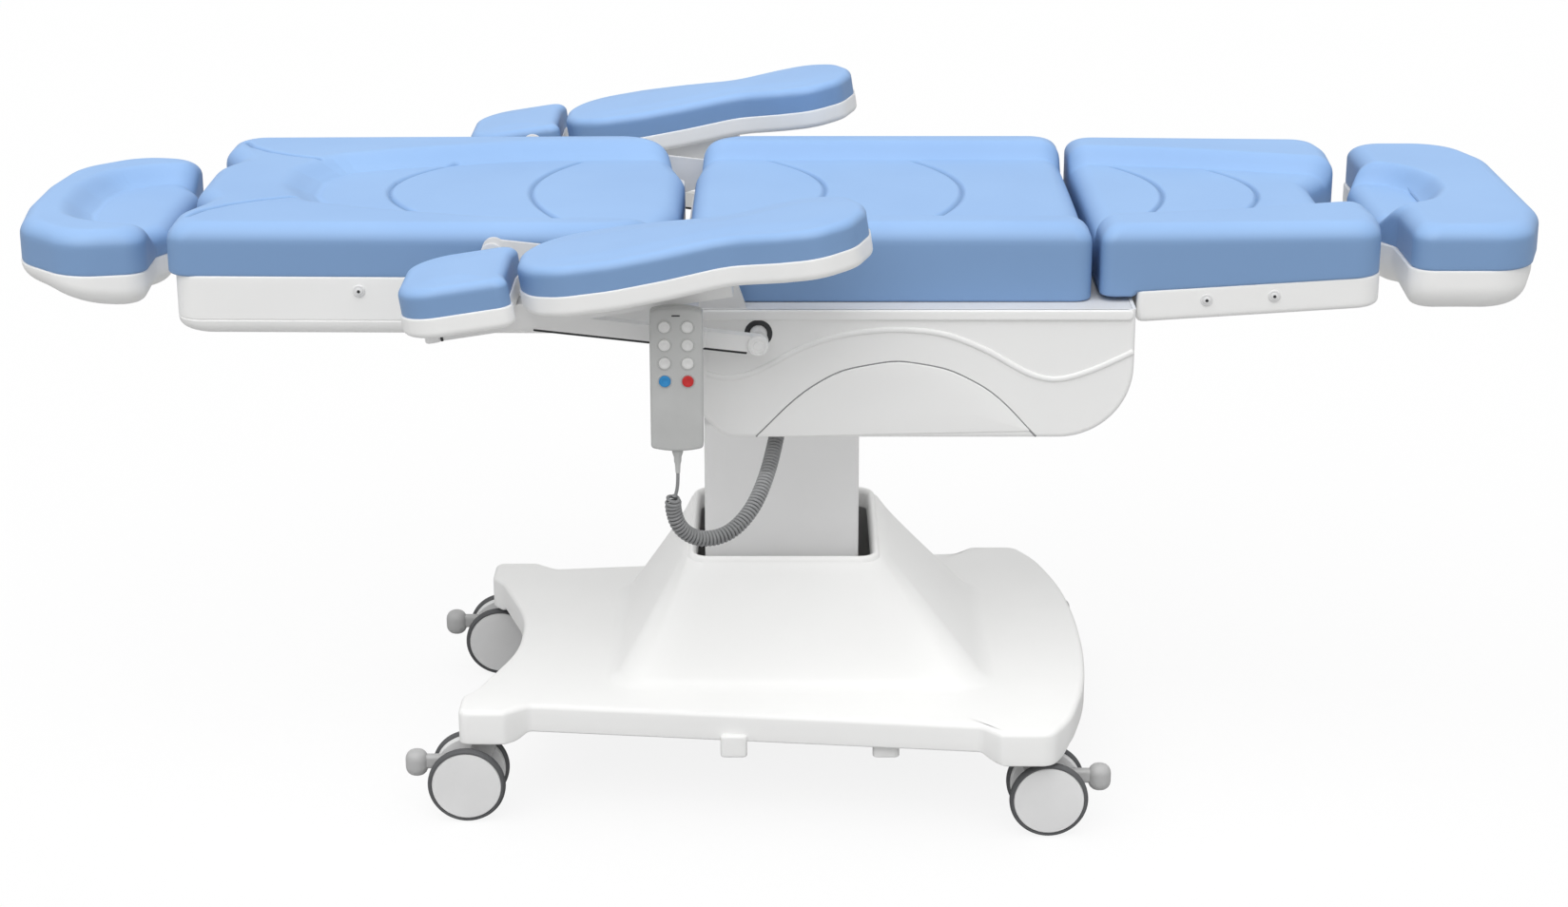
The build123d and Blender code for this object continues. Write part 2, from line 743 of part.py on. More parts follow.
def back_half_width(x):
    """Half width of the back shell at x."""
    share = (x - back_head_x - 6) / (back_shell_foot_x - back_head_x - 6)
    return back_head_half_width - 2 + share * (back_foot_half_width - back_head_half_width)


save(shell_screws([(-497.0, 694.0), (-640.0, 694.0)], back_half_width), "back_screws")

# ---------------------------------------------------------------- leg section
leg_head_half_width = 265.0
leg_foot_half_width = 247.0


def leg_half_width(x):
    """Half width of the leg shell at x."""
    share = (x - leg_shell_head_x) / (leg_shell_foot_x - leg_shell_head_x)
    return leg_head_half_width - 5 + share * (leg_foot_half_width - leg_head_half_width)


with BuildPart() as leg_cushion:
    add(padded_block(
        two_sided([
            (leg_foot_x - 44, 45.0), (leg_foot_x, 115.0), (leg_foot_x - 6, leg_foot_half_width),
            (leg_head_x, leg_head_half_width),
        ]),
        [30, 30, 45, 30, 30, 45, 30, 30], leg_bottom, leg_top, 24))
    with BuildSketch(Plane.XY.offset(leg_bottom - 1)):
        with Locations(((leg_shell_head_x + leg_foot_x) / 2 + 9, 0)):
            Rectangle(leg_foot_x - leg_shell_head_x + 20, 2 * leg_head_half_width + 10)
    extrude(amount=leg_seam + gap - leg_bottom + 1, mode=Mode.SUBTRACT)
save(leg_cushion.part, "leg_cushion")

with BuildPart() as leg_shell:
    add(tray([
        (leg_shell_foot_x - 40, 35.0), (leg_shell_foot_x, 105.0),
        (leg_shell_foot_x, leg_half_width(leg_shell_foot_x)),
        (leg_shell_head_x, leg_half_width(leg_shell_head_x)),
    ], [20, 20, 40, 12, 12, 40, 20, 20], leg_shell_bottom, leg_seam, 10))
    for side in (-1, 1):
        with BuildSketch(Plane.XY.offset(leg_shell_bottom - 5)):
            with Locations((leg_shell_head_x + 8, mirrored(side, leg_ear_y + 9))):
                Rectangle(30, 24)
        extrude(amount=26, mode=Mode.SUBTRACT)
    with BuildSketch(Plane(origin=(leg_shell_foot_x - 60, 0, rod_z), x_dir=(0, 1, 0), z_dir=(1, 0, 0))):
        with Locations((rod_y, 0), (-rod_y, 0)):
            Circle(rod_diameter / 2 + 1)
    extrude(amount=70, mode=Mode.SUBTRACT)
save(leg_shell.part, "leg_shell")

leg_rail_y = leg_ear_y + 5
with BuildPart() as leg_frame:
    add(round_pair(500, leg_shell_foot_x - 50, rod_diameter / 2 + guide_wall))
    for bar_x in (520.0, 650.0):
        with BuildSketch(Plane.XY.offset(rod_z - 8)):
            with Locations((bar_x, 0)):
                Rectangle(24, 2 * leg_rail_y)
        extrude(amount=16)
    for side in (-1, 1):
        face, width = y_span(side, leg_ear_y, leg_ear_y + 10)
        with BuildSketch(side_plane(face)):
            with Locations((leg_pivot_x, leg_pivot_z)):
                Circle(8)
            with BuildLine():
                Polyline(
                    (leg_pivot_x - 2, leg_pivot_z + 7), (leg_pivot_x + 20, leg_seam - gap),
                    (leg_shell_foot_x - 40, leg_seam - gap),
                    (leg_shell_foot_x - 40, leg_shell_bottom + wall + gap),
                    (leg_pivot_x + 18, leg_shell_bottom + wall + gap),
                    (leg_pivot_x + 6, leg_pivot_z - 4),
                    close=True,
                )
            make_face()
            with Locations((leg_pivot_x, leg_pivot_z)):
                Circle(leg_pin_diameter / 2 + running, mode=Mode.SUBTRACT)
        extrude(amount=width)
    add(round_pair(499, leg_shell_foot_x - 49, rod_diameter / 2 + running), mode=Mode.SUBTRACT)
save(leg_frame.part, "leg_frame")
save(shell_screws([(570.0, 690.0), (660.0, 690.0)], leg_half_width), "leg_screws")


# ---------------------------------------------------------------- head and foot sections
def rods(root_x, pivot_x):
    """Two round rods with a block and cross pin at their outer end."""
    low, high = min(root_x, pivot_x), max(root_x, pivot_x)
    with BuildPart() as pair:
        add(round_pair(low, high, rod_diameter / 2))
        with BuildSketch(side_plane(rod_y + 22)):
            with Locations((pivot_x, rod_z)):
                Circle(tilt_pin_diameter / 2)
        extrude(amount=2 * rod_y + 44)
    return pair.part


def end_shell(half, radii, bottom, seam, lower_edge, edge_x, pivot_x):
    """Shell of the head or foot section with two pin lugs and open slots for the rods."""
    inward = 1 if edge_x < pivot_x else -1
    lug = 8.0
    with BuildPart() as shell:
        add(tray(half, radii, bottom, seam, lower_edge))
        for side in (-1, 1):
            with BuildSketch(Plane.XY.offset(bottom - 2)):
                with Locations(((edge_x + pivot_x) / 2, mirrored(side, rod_y))):
                    Rectangle(abs(pivot_x - edge_x) + 26, rod_diameter + 6)
            extrude(amount=rod_z - bottom + rod_diameter + 2, mode=Mode.SUBTRACT)
            face, width = y_span(side, rod_y + rod_diameter / 2 + 4, rod_y + rod_diameter / 2 + 4 + lug)
            with BuildSketch(side_plane(face)):
                with Locations((pivot_x, rod_z)):
                    Circle(9)
                with Locations((pivot_x, (rod_z + bottom + 1) / 2)):
                    Rectangle(18, rod_z - bottom - 1)
                with Locations((pivot_x, rod_z)):
                    Circle(tilt_pin_diameter / 2 + running, mode=Mode.SUBTRACT)
            extrude(amount=width)
    return shell.part


recess_depth = 22.0
foot_end_x = table_length / 2
foot_half = [
    (foot_head_x, 90.0), (foot_head_x + 22, 130.0), (foot_head_x + 22, foot_half_width),
    (foot_end_x - 45, foot_half_width), (foot_end_x, 95.0),
]
foot_half.reverse()
with BuildPart() as foot_cushion:
    add(padded_block(two_sided(foot_half), [60, 60, 30, 12, 20, 20, 12, 30, 60, 60],
                     foot_seam + gap, foot_top, 20))
    with BuildSketch(Plane.XY.offset(foot_top - recess_depth)):
        with Locations((foot_head_x + 40, 0)):
            RectangleRounded(100, 190, 40)
    extrude(amount=recess_depth + 1, mode=Mode.SUBTRACT)
save(foot_cushion.part, "foot_cushion")
foot_shell_half = [
    (foot_end_x - 2, 92.0), (foot_end_x - 46, foot_half_width - 2), (foot_head_x + 24, foot_half_width - 2),
    (foot_head_x + 2, 92.0),
]
save(end_shell(foot_shell_half, [60, 60, 30, 30, 30, 30, 60, 60], foot_shell_bottom,
               foot_seam, 16, foot_head_x, foot_pivot_x), "foot_shell")
save(rods(530.0, foot_pivot_x), "foot_rods")

head_end_x = -table_length / 2
head_half = [
    (head_foot_x - 22, head_half_width - 10), (-855.0, head_half_width), (-925.0, 130.0), (head_end_x, 45.0),
]
with BuildPart() as head_cushion:
    add(padded_block(two_sided(head_half), [30, 80, 90, 60, 60, 90, 80, 30],
                     head_seam + gap, head_top, 20))
    with BuildSketch(Plane.XY.offset(head_top - recess_depth)):
        with Locations((head_foot_x - 50, 0)):
            RectangleRounded(130, 200, 45)
    extrude(amount=recess_depth + 1, mode=Mode.SUBTRACT)
save(head_cushion.part, "head_cushion")
head_shell_half = [(x + (2 if x < -800 else -1), y - 2) for x, y in head_half]
save(end_shell(head_shell_half, [30, 80, 90, 60, 60, 90, 80, 30], head_shell_bottom,
               head_seam, 16, head_foot_x - 22, head_pivot_x - 12), "head_shell")
save(rods(-510.0, head_pivot_x - 12), "head_rods")


# ---------------------------------------------------------------- armrests
def pad_outlines(side):
    """Plan of the long and the short armrest pad on the armrests' plane."""
    middle = mirrored(side, arm_y)
    half = [(-290, 48), (-266, 76), (-215, 87), (-130, 80), (-65, 68), (-10, 82), (35, 85), (85, 58)]
    upper = [(arm_x(x), middle + y) for x, y in half]
    lower = [(arm_x(x), middle - y) for x, y in reversed(half)]
    short_foot_x = arm_x(-296 - arm_end_gap)
    with BuildSketch() as outlines:
        with BuildLine():
            Spline((arm_x(-296), middle), *upper, (arm_x(105), middle), *lower, periodic=True)
        make_face()
        with Locations(((arm_x(-424) + short_foot_x) / 2, mirrored(side, 413.0))):
            RectangleRounded(short_foot_x - arm_x(-424), 158.0, 40)
    return outlines.sketch


for side, place in ((-1, "near"), (1, "far")):
    with BuildPart() as pads:
        with BuildSketch(arm_plane(arm_pad)):
            add(pad_outlines(side))
        extrude(amount=arm_pad)
    save(pads.part, f"arm_pads_{place}")

    with BuildPart() as arm_shells:
        with BuildSketch(arm_plane(arm_pad + arm_shell)):
            add(pad_outlines(side))
        extrude(amount=arm_shell - gap)
    save(arm_shells.part, f"arm_shells_{place}")

    # Bracket: a bar under both shells, a lug up to the armrest pivot and a pin for the link
    with BuildPart() as bracket:
        with BuildSketch(arm_plane(arm_pad + arm_shell + gap + arm_bar)):
            with Locations(((arm_x(arm_bar_head_x) + arm_x(arm_bar_foot_x)) / 2,
                            mirrored(side, arm_bar_y + arm_bar_width / 2))):
                Rectangle(arm_x(arm_bar_foot_x) - arm_x(arm_bar_head_x), arm_bar_width)
        extrude(amount=arm_bar)
        low_z = arm_pivot_z - 72
        with BuildSketch(Plane.XY.offset(low_z)):
            with Locations((arm_pivot_x, mirrored(side, (lug_y + arm_bar_y + 2) / 2))):
                Rectangle(36, arm_bar_y + 2 - lug_y)
        extrude(amount=8)
        face, width = y_span(side, lug_y, lug_y + plate_thickness)
        with BuildSketch(side_plane(face)):
            with Locations((arm_pivot_x, arm_pivot_z)):
                Circle(boss_radius)
            with Locations((arm_pivot_x, (low_z + arm_pivot_z) / 2)):
                Rectangle(2 * boss_radius, arm_pivot_z - low_z)
        extrude(amount=width)
        face, width = y_span(side, arm_plate_y, lug_y + 1)
        with BuildSketch(side_plane(face)):
            with Locations((arm_pivot_x, arm_pivot_z)):
                Circle(arm_pin_diameter / 2)
        extrude(amount=width)
        face, width = y_span(side, link_y + link_thickness + gap, arm_bar_y + 2)
        with BuildSketch(side_plane(face)):
            with Locations((link_end_x, link_end_z)):
                Circle(boss_radius - 2)
            with Locations((link_end_x, link_end_z + 14)):
                Rectangle(2 * boss_radius - 4, 28)
        extrude(amount=width)
        face, width = y_span(side, link_y, link_y + link_thickness + 1)
        with BuildSketch(side_plane(face)):
            with Locations((link_end_x, link_end_z)):
                Circle(link_pin_diameter / 2)
        extrude(amount=width)
    save(bracket.part, f"arm_bracket_{place}")

    # Link bar between the seat's shaft and the bracket's pin
    with BuildPart() as link:
        face, width = y_span(side, link_y, link_y + link_thickness)
        run_x, run_z = link_end_x - link_pivot_x, link_end_z - link_pivot_z
        reach = (run_x ** 2 + run_z ** 2) ** 0.5
        over_x, over_z = -run_z / reach * link_height / 2, run_x / reach * link_height / 2
        with BuildSketch(side_plane(face)):
            with Locations((link_pivot_x, link_pivot_z), (link_end_x, link_end_z)):
                Circle(link_height / 2)
            with BuildLine():
                Polyline(
                    (link_pivot_x + over_x, link_pivot_z + over_z),
                    (link_end_x + over_x, link_end_z + over_z),
                    (link_end_x - over_x, link_end_z - over_z),
                    (link_pivot_x - over_x, link_pivot_z - over_z),
                    close=True,
                )
            make_face()
            with Locations((link_pivot_x, link_pivot_z)):
                Circle(link_pin_diameter / 2 + running, mode=Mode.SUBTRACT)
            with Locations((link_end_x, link_end_z)):
                Circle(link_pin_diameter / 2 + 0.5, mode=Mode.SUBTRACT)
        extrude(amount=width)
    save(link.part, f"arm_link_{place}")

# ---------------------------------------------------------------- handset
button_columns = (-13.5, 13.5)
button_rows = (704.0, 682.0, 660.0, 638.0)
handset_middle_z = (handset_bottom + handset_top) / 2
button_places = [(handset_x + column, row) for row in button_rows for column in button_columns]

with BuildPart() as handset:
    with BuildSketch(side_plane(handset_front + handset_depth)):
        with Locations((handset_x, handset_middle_z)):
            RectangleRounded(handset_width, handset_top - handset_bottom, 12)
    extrude(amount=handset_depth)
    fillet(handset.faces().filter_by(Axis.Y).edges(), 4)
    with BuildSketch(side_plane(handset_front)):
        with Locations(*button_places):
            Circle(button_diameter / 2 + button_play)
    extrude(amount=-button_depth, mode=Mode.SUBTRACT)
save(handset.part, "handset_body")

for number, (x, z) in enumerate(button_places, 1):
    with BuildPart() as button:
        with BuildSketch(side_plane(handset_front + button_depth - button_travel - button_play)):
            with Locations((x, z)):
                Circle(button_diameter / 2)
        extrude(amount=button_depth + button_stand - button_travel - button_play)
        fillet(button.edges().group_by(Axis.Y)[0], 1)
    save(button.part, f"button_{number}")

holder_z = 620.0
with BuildPart() as holder:
    with BuildSketch(side_plane(handset_front + handset_depth + gap + 4)):
        with Locations((handset_x, handset_middle_z)):
            RectangleRounded(44, 120, 8)
    extrude(amount=4)
    with BuildSketch(side_plane(-seat_cover_half_width - gap)):
        with Locations((seat_cover_head_x + 18, holder_z)):
            RectangleRounded(30, 60, 6)
    extrude(amount=4)
    with BuildSketch(side_plane(-seat_cover_half_width - gap)):
        with Locations((seat_cover_head_x + 12, holder_z)):
            Rectangle(16, 24)
    extrude(amount=-(handset_front + handset_depth + gap) - seat_cover_half_width - gap)
save(holder.part, "handset_holder")

relief_bottom = handset_bottom - relief_length
handset_cord_y = handset_front + handset_depth / 2
with BuildPart() as relief:
    with BuildSketch(Plane.XY.offset(handset_bottom)):
        with Locations((handset_x, handset_cord_y)):
            Circle(relief_top_diameter / 2)
    with BuildSketch(Plane.XY.offset(relief_bottom)):
        with Locations((handset_x, handset_cord_y)):
            Circle(relief_end_diameter / 2)
    loft()
save(relief.part, "handset_relief")

tail_route = [
    (handset_x, handset_cord_y, relief_bottom), (-114.0, -412.0, 506.0),
    (-117.0, -409.5, 491.0), (-122.0, -406.0, 478.0),
]
coil_route = [
    (-122.0, -406.0, 478.0), (-114.0, -399.0, 444.0), (-88.0, -386.0, 425.0), (-54.0, -370.0, 427.0),
    (-27.0, -343.0, 448.0), (-11.0, -306.0, 474.0), (-1.0, -266.0, 498.0), (5.0, -233.0, 519.5),
]


def arc_radii(points):
    """Radius of the tangent arc at each corner: 0.45 of the shorter run over tan(half the turn)."""
    radii = []
    for before, here, after in zip(points, points[1:], points[2:]):
        run_in, run_out = Vector(here) - Vector(before), Vector(after) - Vector(here)
        turn = run_in.get_angle(run_out)
        radii.append(0.45 * min(run_in.length, run_out.length) / tan(radians(turn) / 2))
    return radii


def cord_tube(points, diameter, name):
    """Tube along straight runs joined by tangent arcs."""
    radii = arc_radii(points)
    with BuildPart() as tube:
        with BuildLine() as path:
            FilletPolyline(*points, radius=radii)
        with BuildSketch(Plane(origin=path.line @ 0, z_dir=path.line % 0)):
            Circle(diameter / 2)
        sweep(transition=Transition.ROUND)
    length = path.wires()[0].length
    share = tube.part.volume / (length * pi * diameter ** 2 / 4)
    print(name, "length", round(length, 1), "radii", [round(r) for r in radii],
          "volume share", round(share, 4))
    save(tube.part, name)


cord_tube(tail_route, cord_diameter, "cord_tail")
cord_tube(coil_route, coil_diameter, "cord_coil")
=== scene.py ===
import json
from math import atan, cos, pi, radians, sin

import bpy
import numpy as np
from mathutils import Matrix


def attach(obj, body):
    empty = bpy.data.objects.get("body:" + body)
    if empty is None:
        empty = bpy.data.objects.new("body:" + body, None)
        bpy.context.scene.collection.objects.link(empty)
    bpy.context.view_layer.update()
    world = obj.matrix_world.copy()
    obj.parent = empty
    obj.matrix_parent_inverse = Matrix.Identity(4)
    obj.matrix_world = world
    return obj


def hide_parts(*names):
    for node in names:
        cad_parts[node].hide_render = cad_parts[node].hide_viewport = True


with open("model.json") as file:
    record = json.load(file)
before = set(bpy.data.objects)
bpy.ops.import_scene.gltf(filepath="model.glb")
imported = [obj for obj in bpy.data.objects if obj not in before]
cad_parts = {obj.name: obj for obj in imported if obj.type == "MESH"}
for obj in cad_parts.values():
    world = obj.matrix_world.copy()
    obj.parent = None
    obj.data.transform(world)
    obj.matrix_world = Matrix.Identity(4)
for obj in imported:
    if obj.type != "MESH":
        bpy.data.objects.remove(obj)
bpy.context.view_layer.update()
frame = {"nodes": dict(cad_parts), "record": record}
millimetre = 0.001

# camera, floor and light
view = {"place": (0.012, -3.725, 1.653), "pitch": 71.5, "lens": 67.68, "sensor": 36.0}
light = {"sky": 0.56, "key": 1.5, "keyTurn": (27, -12, 0), "keySpread": 70, "fill": 0.34,
         "fillTurn": (48, 14, 0), "fillSpread": 60, "panel": 1.2, "panelSize": (1.3, 0.75),
         "panelHeight": 0.485, "floorSeen": 0.12, "floorGlow": 0.872, "floorBounce": 0.5}


# a long lens, level from side to side and pitched a little down
def addCamera():
    data = bpy.data.cameras.new("mainCamera")
    data.lens, data.sensor_width = view["lens"], view["sensor"]
    data.clip_end = 100
    holder = bpy.data.objects.new("mainCamera", data)
    holder.location = view["place"]
    holder.rotation_euler = (radians(view["pitch"]), 0, 0)
    bpy.context.scene.collection.objects.link(holder)
    bpy.context.scene.camera = holder


# parallel light turned from straight down by the given angles
def addSun(name, strength, turn, spread):
    data = bpy.data.lights.new(name, "SUN")
    data.energy, data.angle = strength, radians(spread)
    holder = bpy.data.objects.new(name, data)
    holder.rotation_euler = [radians(a) for a in turn]
    bpy.context.scene.collection.objects.link(holder)


# a plain white sky that lights everything evenly; the camera sees it as full white
def addSky():
    world = bpy.data.worlds.new("studioSky")
    bpy.context.scene.world = world
    world.use_nodes = True
    nodes, links = world.node_tree.nodes, world.node_tree.links
    nodes.clear()
    out = nodes.new("ShaderNodeOutputWorld")
    dim, bright = nodes.new("ShaderNodeBackground"), nodes.new("ShaderNodeBackground")
    dim.inputs["Color"].default_value = (1, 1, 1, 1)
    dim.inputs["Strength"].default_value = light["sky"]
    bright.inputs["Color"].default_value = (1, 1, 1, 1)
    bright.inputs["Strength"].default_value = 1.0
    rays, mix = nodes.new("ShaderNodeLightPath"), nodes.new("ShaderNodeMixShader")
    links.new(rays.outputs["Is Camera Ray"], mix.inputs[0])
    links.new(dim.outputs[0], mix.inputs[1])
    links.new(bright.outputs[0], mix.inputs[2])
    links.new(mix.outputs[0], out.inputs[0])


# a soft panel under the table, out of the camera's sight, for the base that the table shades
def addPanel():
    lamp = bpy.data.lights.new("basePanel", "AREA")
    lamp.shape = "RECTANGLE"
    lamp.size, lamp.size_y = light["panelSize"]
    lamp.energy = light["panel"]
    panel = bpy.data.objects.new("basePanel", lamp)
    panel.location = (0, 0, light["panelHeight"])
    panel.visible_camera = False
    panel.visible_glossy = False
    bpy.context.scene.collection.objects.link(panel)


# a wide plane: grey for bounced light, and near white with a faint shadow for the camera
def addFloor():
    mesh = bpy.data.meshes.new("studioFloor")
    mesh.from_pydata([(-40, -40, 0), (40, -40, 0), (40, 40, 0), (-40, 40, 0)], [], [(0, 1, 2, 3)])
    floor = bpy.data.objects.new("studioFloor", mesh)
    bpy.context.scene.collection.objects.link(floor)
    finish = bpy.data.materials.new("floorWhite")
    finish.use_nodes = True
    nodes, links = finish.node_tree.nodes, finish.node_tree.links
    nodes.clear()
    out = nodes.new("ShaderNodeOutputMaterial")
    matt, seen, glow = [nodes.new("ShaderNode" + kind) for kind in ("BsdfDiffuse", "BsdfDiffuse",
                                                                    "Emission")]
    matt.inputs["Color"].default_value = [light["floorBounce"]] * 3 + [1]
    seen.inputs["Color"].default_value = [light["floorSeen"]] * 3 + [1]
    glow.inputs["Strength"].default_value = light["floorGlow"]
    rays, lift, pick = [nodes.new("ShaderNode" + kind) for kind in ("LightPath", "AddShader",
                                                                    "MixShader")]
    links.new(seen.outputs[0], lift.inputs[0])
    links.new(glow.outputs[0], lift.inputs[1])
    links.new(rays.outputs["Is Camera Ray"], pick.inputs[0])
    links.new(matt.outputs[0], pick.inputs[1])
    links.new(lift.outputs[0], pick.inputs[2])
    links.new(pick.outputs[0], out.inputs[0])
    mesh.materials.append(finish)


bpy.context.scene.view_settings.view_transform = "Standard"
addCamera()
addSky()
addSun("keySun", light["key"], light["keyTurn"], light["keySpread"])
addSun("fillSun", light["fill"], light["fillTurn"], light["fillSpread"])
addPanel()
addFloor()
print("stage: camera, sky and floor stand")


# finishes

# a screen colour written as six hex digits, turned into linear light
def paint(code):
    values = [int(code[k:k + 2], 16) / 255 for k in (0, 2, 4)]
    return [v / 12.92 if v < 0.04045 else ((v + 0.055) / 1.055) ** 2.4 for v in values] + [1]


# a principled surface: two close tones mixed by a broad noise, roughness that wanders and a fine
# grain that lifts the surface, read from object coordinates in metres; fabric can also take painted
# shade: a darker tone on its standing faces and a darker tone in its creases
def finishOf(name, light, dark, rough=(0.4, 0.5), cloud=6, grain=900, lift=0.05, depth=0.0002,
             kind="noise", creaseShade=None, paintedSideShade=None, **fixed):
    made = bpy.data.materials.new(name)
    made.use_nodes = True
    nodes, links = made.node_tree.nodes, made.node_tree.links
    shader = nodes["Principled BSDF"]
    place = nodes.new("ShaderNodeTexCoord")
    broad = nodes.new("ShaderNodeTexNoise")
    broad.inputs["Scale"].default_value = cloud
    broad.inputs["Detail"].default_value = 4
    links.new(place.outputs["Object"], broad.inputs["Vector"])
    ramp = nodes.new("ShaderNodeValToRGB")
    ramp.color_ramp.elements[0].position, ramp.color_ramp.elements[1].position = 0.3, 0.7
    ramp.color_ramp.elements[0].color, ramp.color_ramp.elements[1].color = paint(dark), paint(light)
    links.new(broad.outputs[0], ramp.inputs[0])
    colour = ramp.outputs[0]
    if paintedSideShade:    # painted shade: the standing faces are given a darker colour than the level ones
        split, lean, sideShade = [nodes.new("ShaderNode" + part) for part in ("SeparateXYZ",
                                                                           "MapRange", "Mix")]
        lean.inputs["From Min"].default_value, lean.inputs["From Max"].default_value = 0.98, 0.25
        sideShade.data_type = "RGBA"
        sideShade.inputs[7].default_value = paint(paintedSideShade)
        links.new(place.outputs["Normal"], split.inputs[0])
        links.new(split.outputs[2], lean.inputs["Value"])
        links.new(lean.outputs[0], sideShade.inputs[0])
        links.new(colour, sideShade.inputs[6])
        colour = sideShade.outputs[2]
    if creaseShade:    # painted shade: the thin creases are darkened in colour
        shadeAmount = nodes.new("ShaderNodeAttribute")
        shadeAmount.attribute_name = "creaseShade"
        creaseShadeMix = nodes.new("ShaderNodeMix")
        creaseShadeMix.data_type = "RGBA"
        creaseShadeMix.inputs[7].default_value = paint(creaseShade)
        links.new(shadeAmount.outputs["Fac"], creaseShadeMix.inputs[0])
        links.new(colour, creaseShadeMix.inputs[6])
        colour = creaseShadeMix.outputs[2]
    links.new(colour, shader.inputs["Base Color"])
    fine = nodes.new("ShaderNodeTexVoronoi" if kind == "leather" else "ShaderNodeTexNoise")
    fine.inputs["Scale"].default_value = grain
    links.new(place.outputs["Object"], fine.inputs["Vector"])
    spread = nodes.new("ShaderNodeMapRange")
    spread.inputs["To Min"].default_value, spread.inputs["To Max"].default_value = rough
    links.new(fine.outputs[0], spread.inputs["Value"])
    links.new(spread.outputs[0], shader.inputs["Roughness"])
    bump = nodes.new("ShaderNodeBump")
    bump.inputs["Strength"].default_value = lift
    bump.inputs["Distance"].default_value = depth
    links.new(fine.outputs[0], bump.inputs["Height"])
    links.new(bump.outputs[0], shader.inputs["Normal"])
    for socket, value in fixed.items():
        shader.inputs[socket.replace("_", " ")].default_value = value
    return made


finish = {
    # the blue fabrics carry painted shade: 6C93C4 darkens the creases of coatedFabric, 7D9FCA
    # darkens the standing faces of both
    "coatedFabric": finishOf("coatedFabric", "A1C8F8", "9BC2F3", (0.42, 0.54), 5, 1500, 0.22,
                             0.0002, "leather", "6C93C4", "7D9FCA"),
    "padFabric": finishOf("padFabric", "A1C8F8", "9BC2F3", (0.40, 0.52), 7, 1500, 0.2, 0.0002,
                          "leather", paintedSideShade="7D9FCA"),
    "shellPlastic": finishOf("shellPlastic", "F7F7F6", "F4F4F3", (0.34, 0.44), 4, 1100, 0.10),
    "coverPlastic": finishOf("coverPlastic", "F7F7F6", "F4F4F3", (0.38, 0.48), 4, 1100, 0.12),
    "columnPaint": finishOf("columnPaint", "E2E2E2", "DCDCDC", (0.42, 0.52), 5, 700, 0.10),
    "framePaint": finishOf("framePaint", "E9E9E9", "E1E1E1", (0.45, 0.6), 9, 500, 0.2),
    "linkPaint": finishOf("linkPaint", "F6F6F5", "F0F0F0", (0.32, 0.45), 6, 800, 0.10),
    "shaftMetal": finishOf("shaftMetal", "C9CACC", "B2B4B8", (0.2, 0.34), 20, 600, 0.05,
                           Metallic=1.0),
    "tyreRubber": finishOf("tyreRubber", "5E5F61", "525355", (0.55, 0.7), 12, 900, 0.3),
    "hoodPlastic": finishOf("hoodPlastic", "5A5B5D", "4C4D50", (0.4, 0.52), 12, 900, 0.15),
    "capPlastic": finishOf("capPlastic", "EAEAEA", "E2E2E2", (0.35, 0.45), 12, 900, 0.08),
    "pedalPlastic": finishOf("pedalPlastic", "BDBDBD", "AFAFAF", (0.4, 0.5), 14, 900, 0.12),
    # black paint of the motor and dark frames, also used as painted shade in gaps, sockets and
    # under the link bar
    "darkPaintAndShade": finishOf("darkPaintAndShade", "2E2F31", "242527", (0.4, 0.55), 12, 500, 0.2),
    "handsetPlastic": finishOf("handsetPlastic", "C4C5C4", "BABBBA", (0.4, 0.5), 16, 1600, 0.15),
    "buttonWhite": finishOf("buttonWhite", "E2E2E1", "DADAD9", (0.3, 0.4), 30, 1600, 0.06),
    "buttonBlue": finishOf("buttonBlue", "2E90CF", "2686C4", (0.3, 0.4), 30, 1600, 0.06),
    "buttonRed": finishOf("buttonRed", "CC2C2C", "C02323", (0.3, 0.4), 30, 1600, 0.06),
    # grey cord rubber, also used as painted shade in the cover's arch groove
    "cordRubberAndGrooveShade": finishOf("cordRubberAndGrooveShade", "939495", "868788", (0.45, 0.58), 20, 1500, 0.1),
    # painted shade for the shaft holes in the seat cover
    "holeShade": finishOf("holeShade", "3A3B3D", "303133", (0.6, 0.75), 12, 700, 0.1),
    "screwSteel": finishOf("screwSteel", "8C8E92", "77797D", (0.25, 0.4), 30, 900, 0.08,
                           Metallic=0.9),
}
print("finishes: %d materials made" % len(finish))


# shapes: numbers are millimetres until a mesh is made

# 0 below low, 1 above high, and 3t^2 - 2t^3 in between
def smoothStep(low, high, value):
    t = np.clip((value - low) / (high - low), 0, 1)
    return t * t * (3 - 2 * t)


# the corners of a closed polygon put anticlockwise, each with its radius
def turnedRight(corners, radii):
    corners, radii = np.array(corners, float), np.broadcast_to(np.array(radii, float), len(corners))
    area = np.sum(corners[:, 0] * np.roll(corners[:, 1], -1) - np.roll(corners[:, 0],
                                                                       -1) * corners[:, 1])
    return (corners, radii) if area > 0 else (corners[::-1], radii[::-1])


# every edge moved inwards by the same distance; a corner goes to where its two edges meet again
def insetCorners(corners, distance):
    run = np.roll(corners, -1, 0) - corners
    inward = np.stack([-run[:, 1], run[:, 0]], axis=1) / np.linalg.norm(run, axis=1, keepdims=True)
    before = np.roll(inward, 1, 0)
    return corners + distance * (inward + before) / (1 + np.sum(inward * before, axis=1,
                                                                keepdims=True))


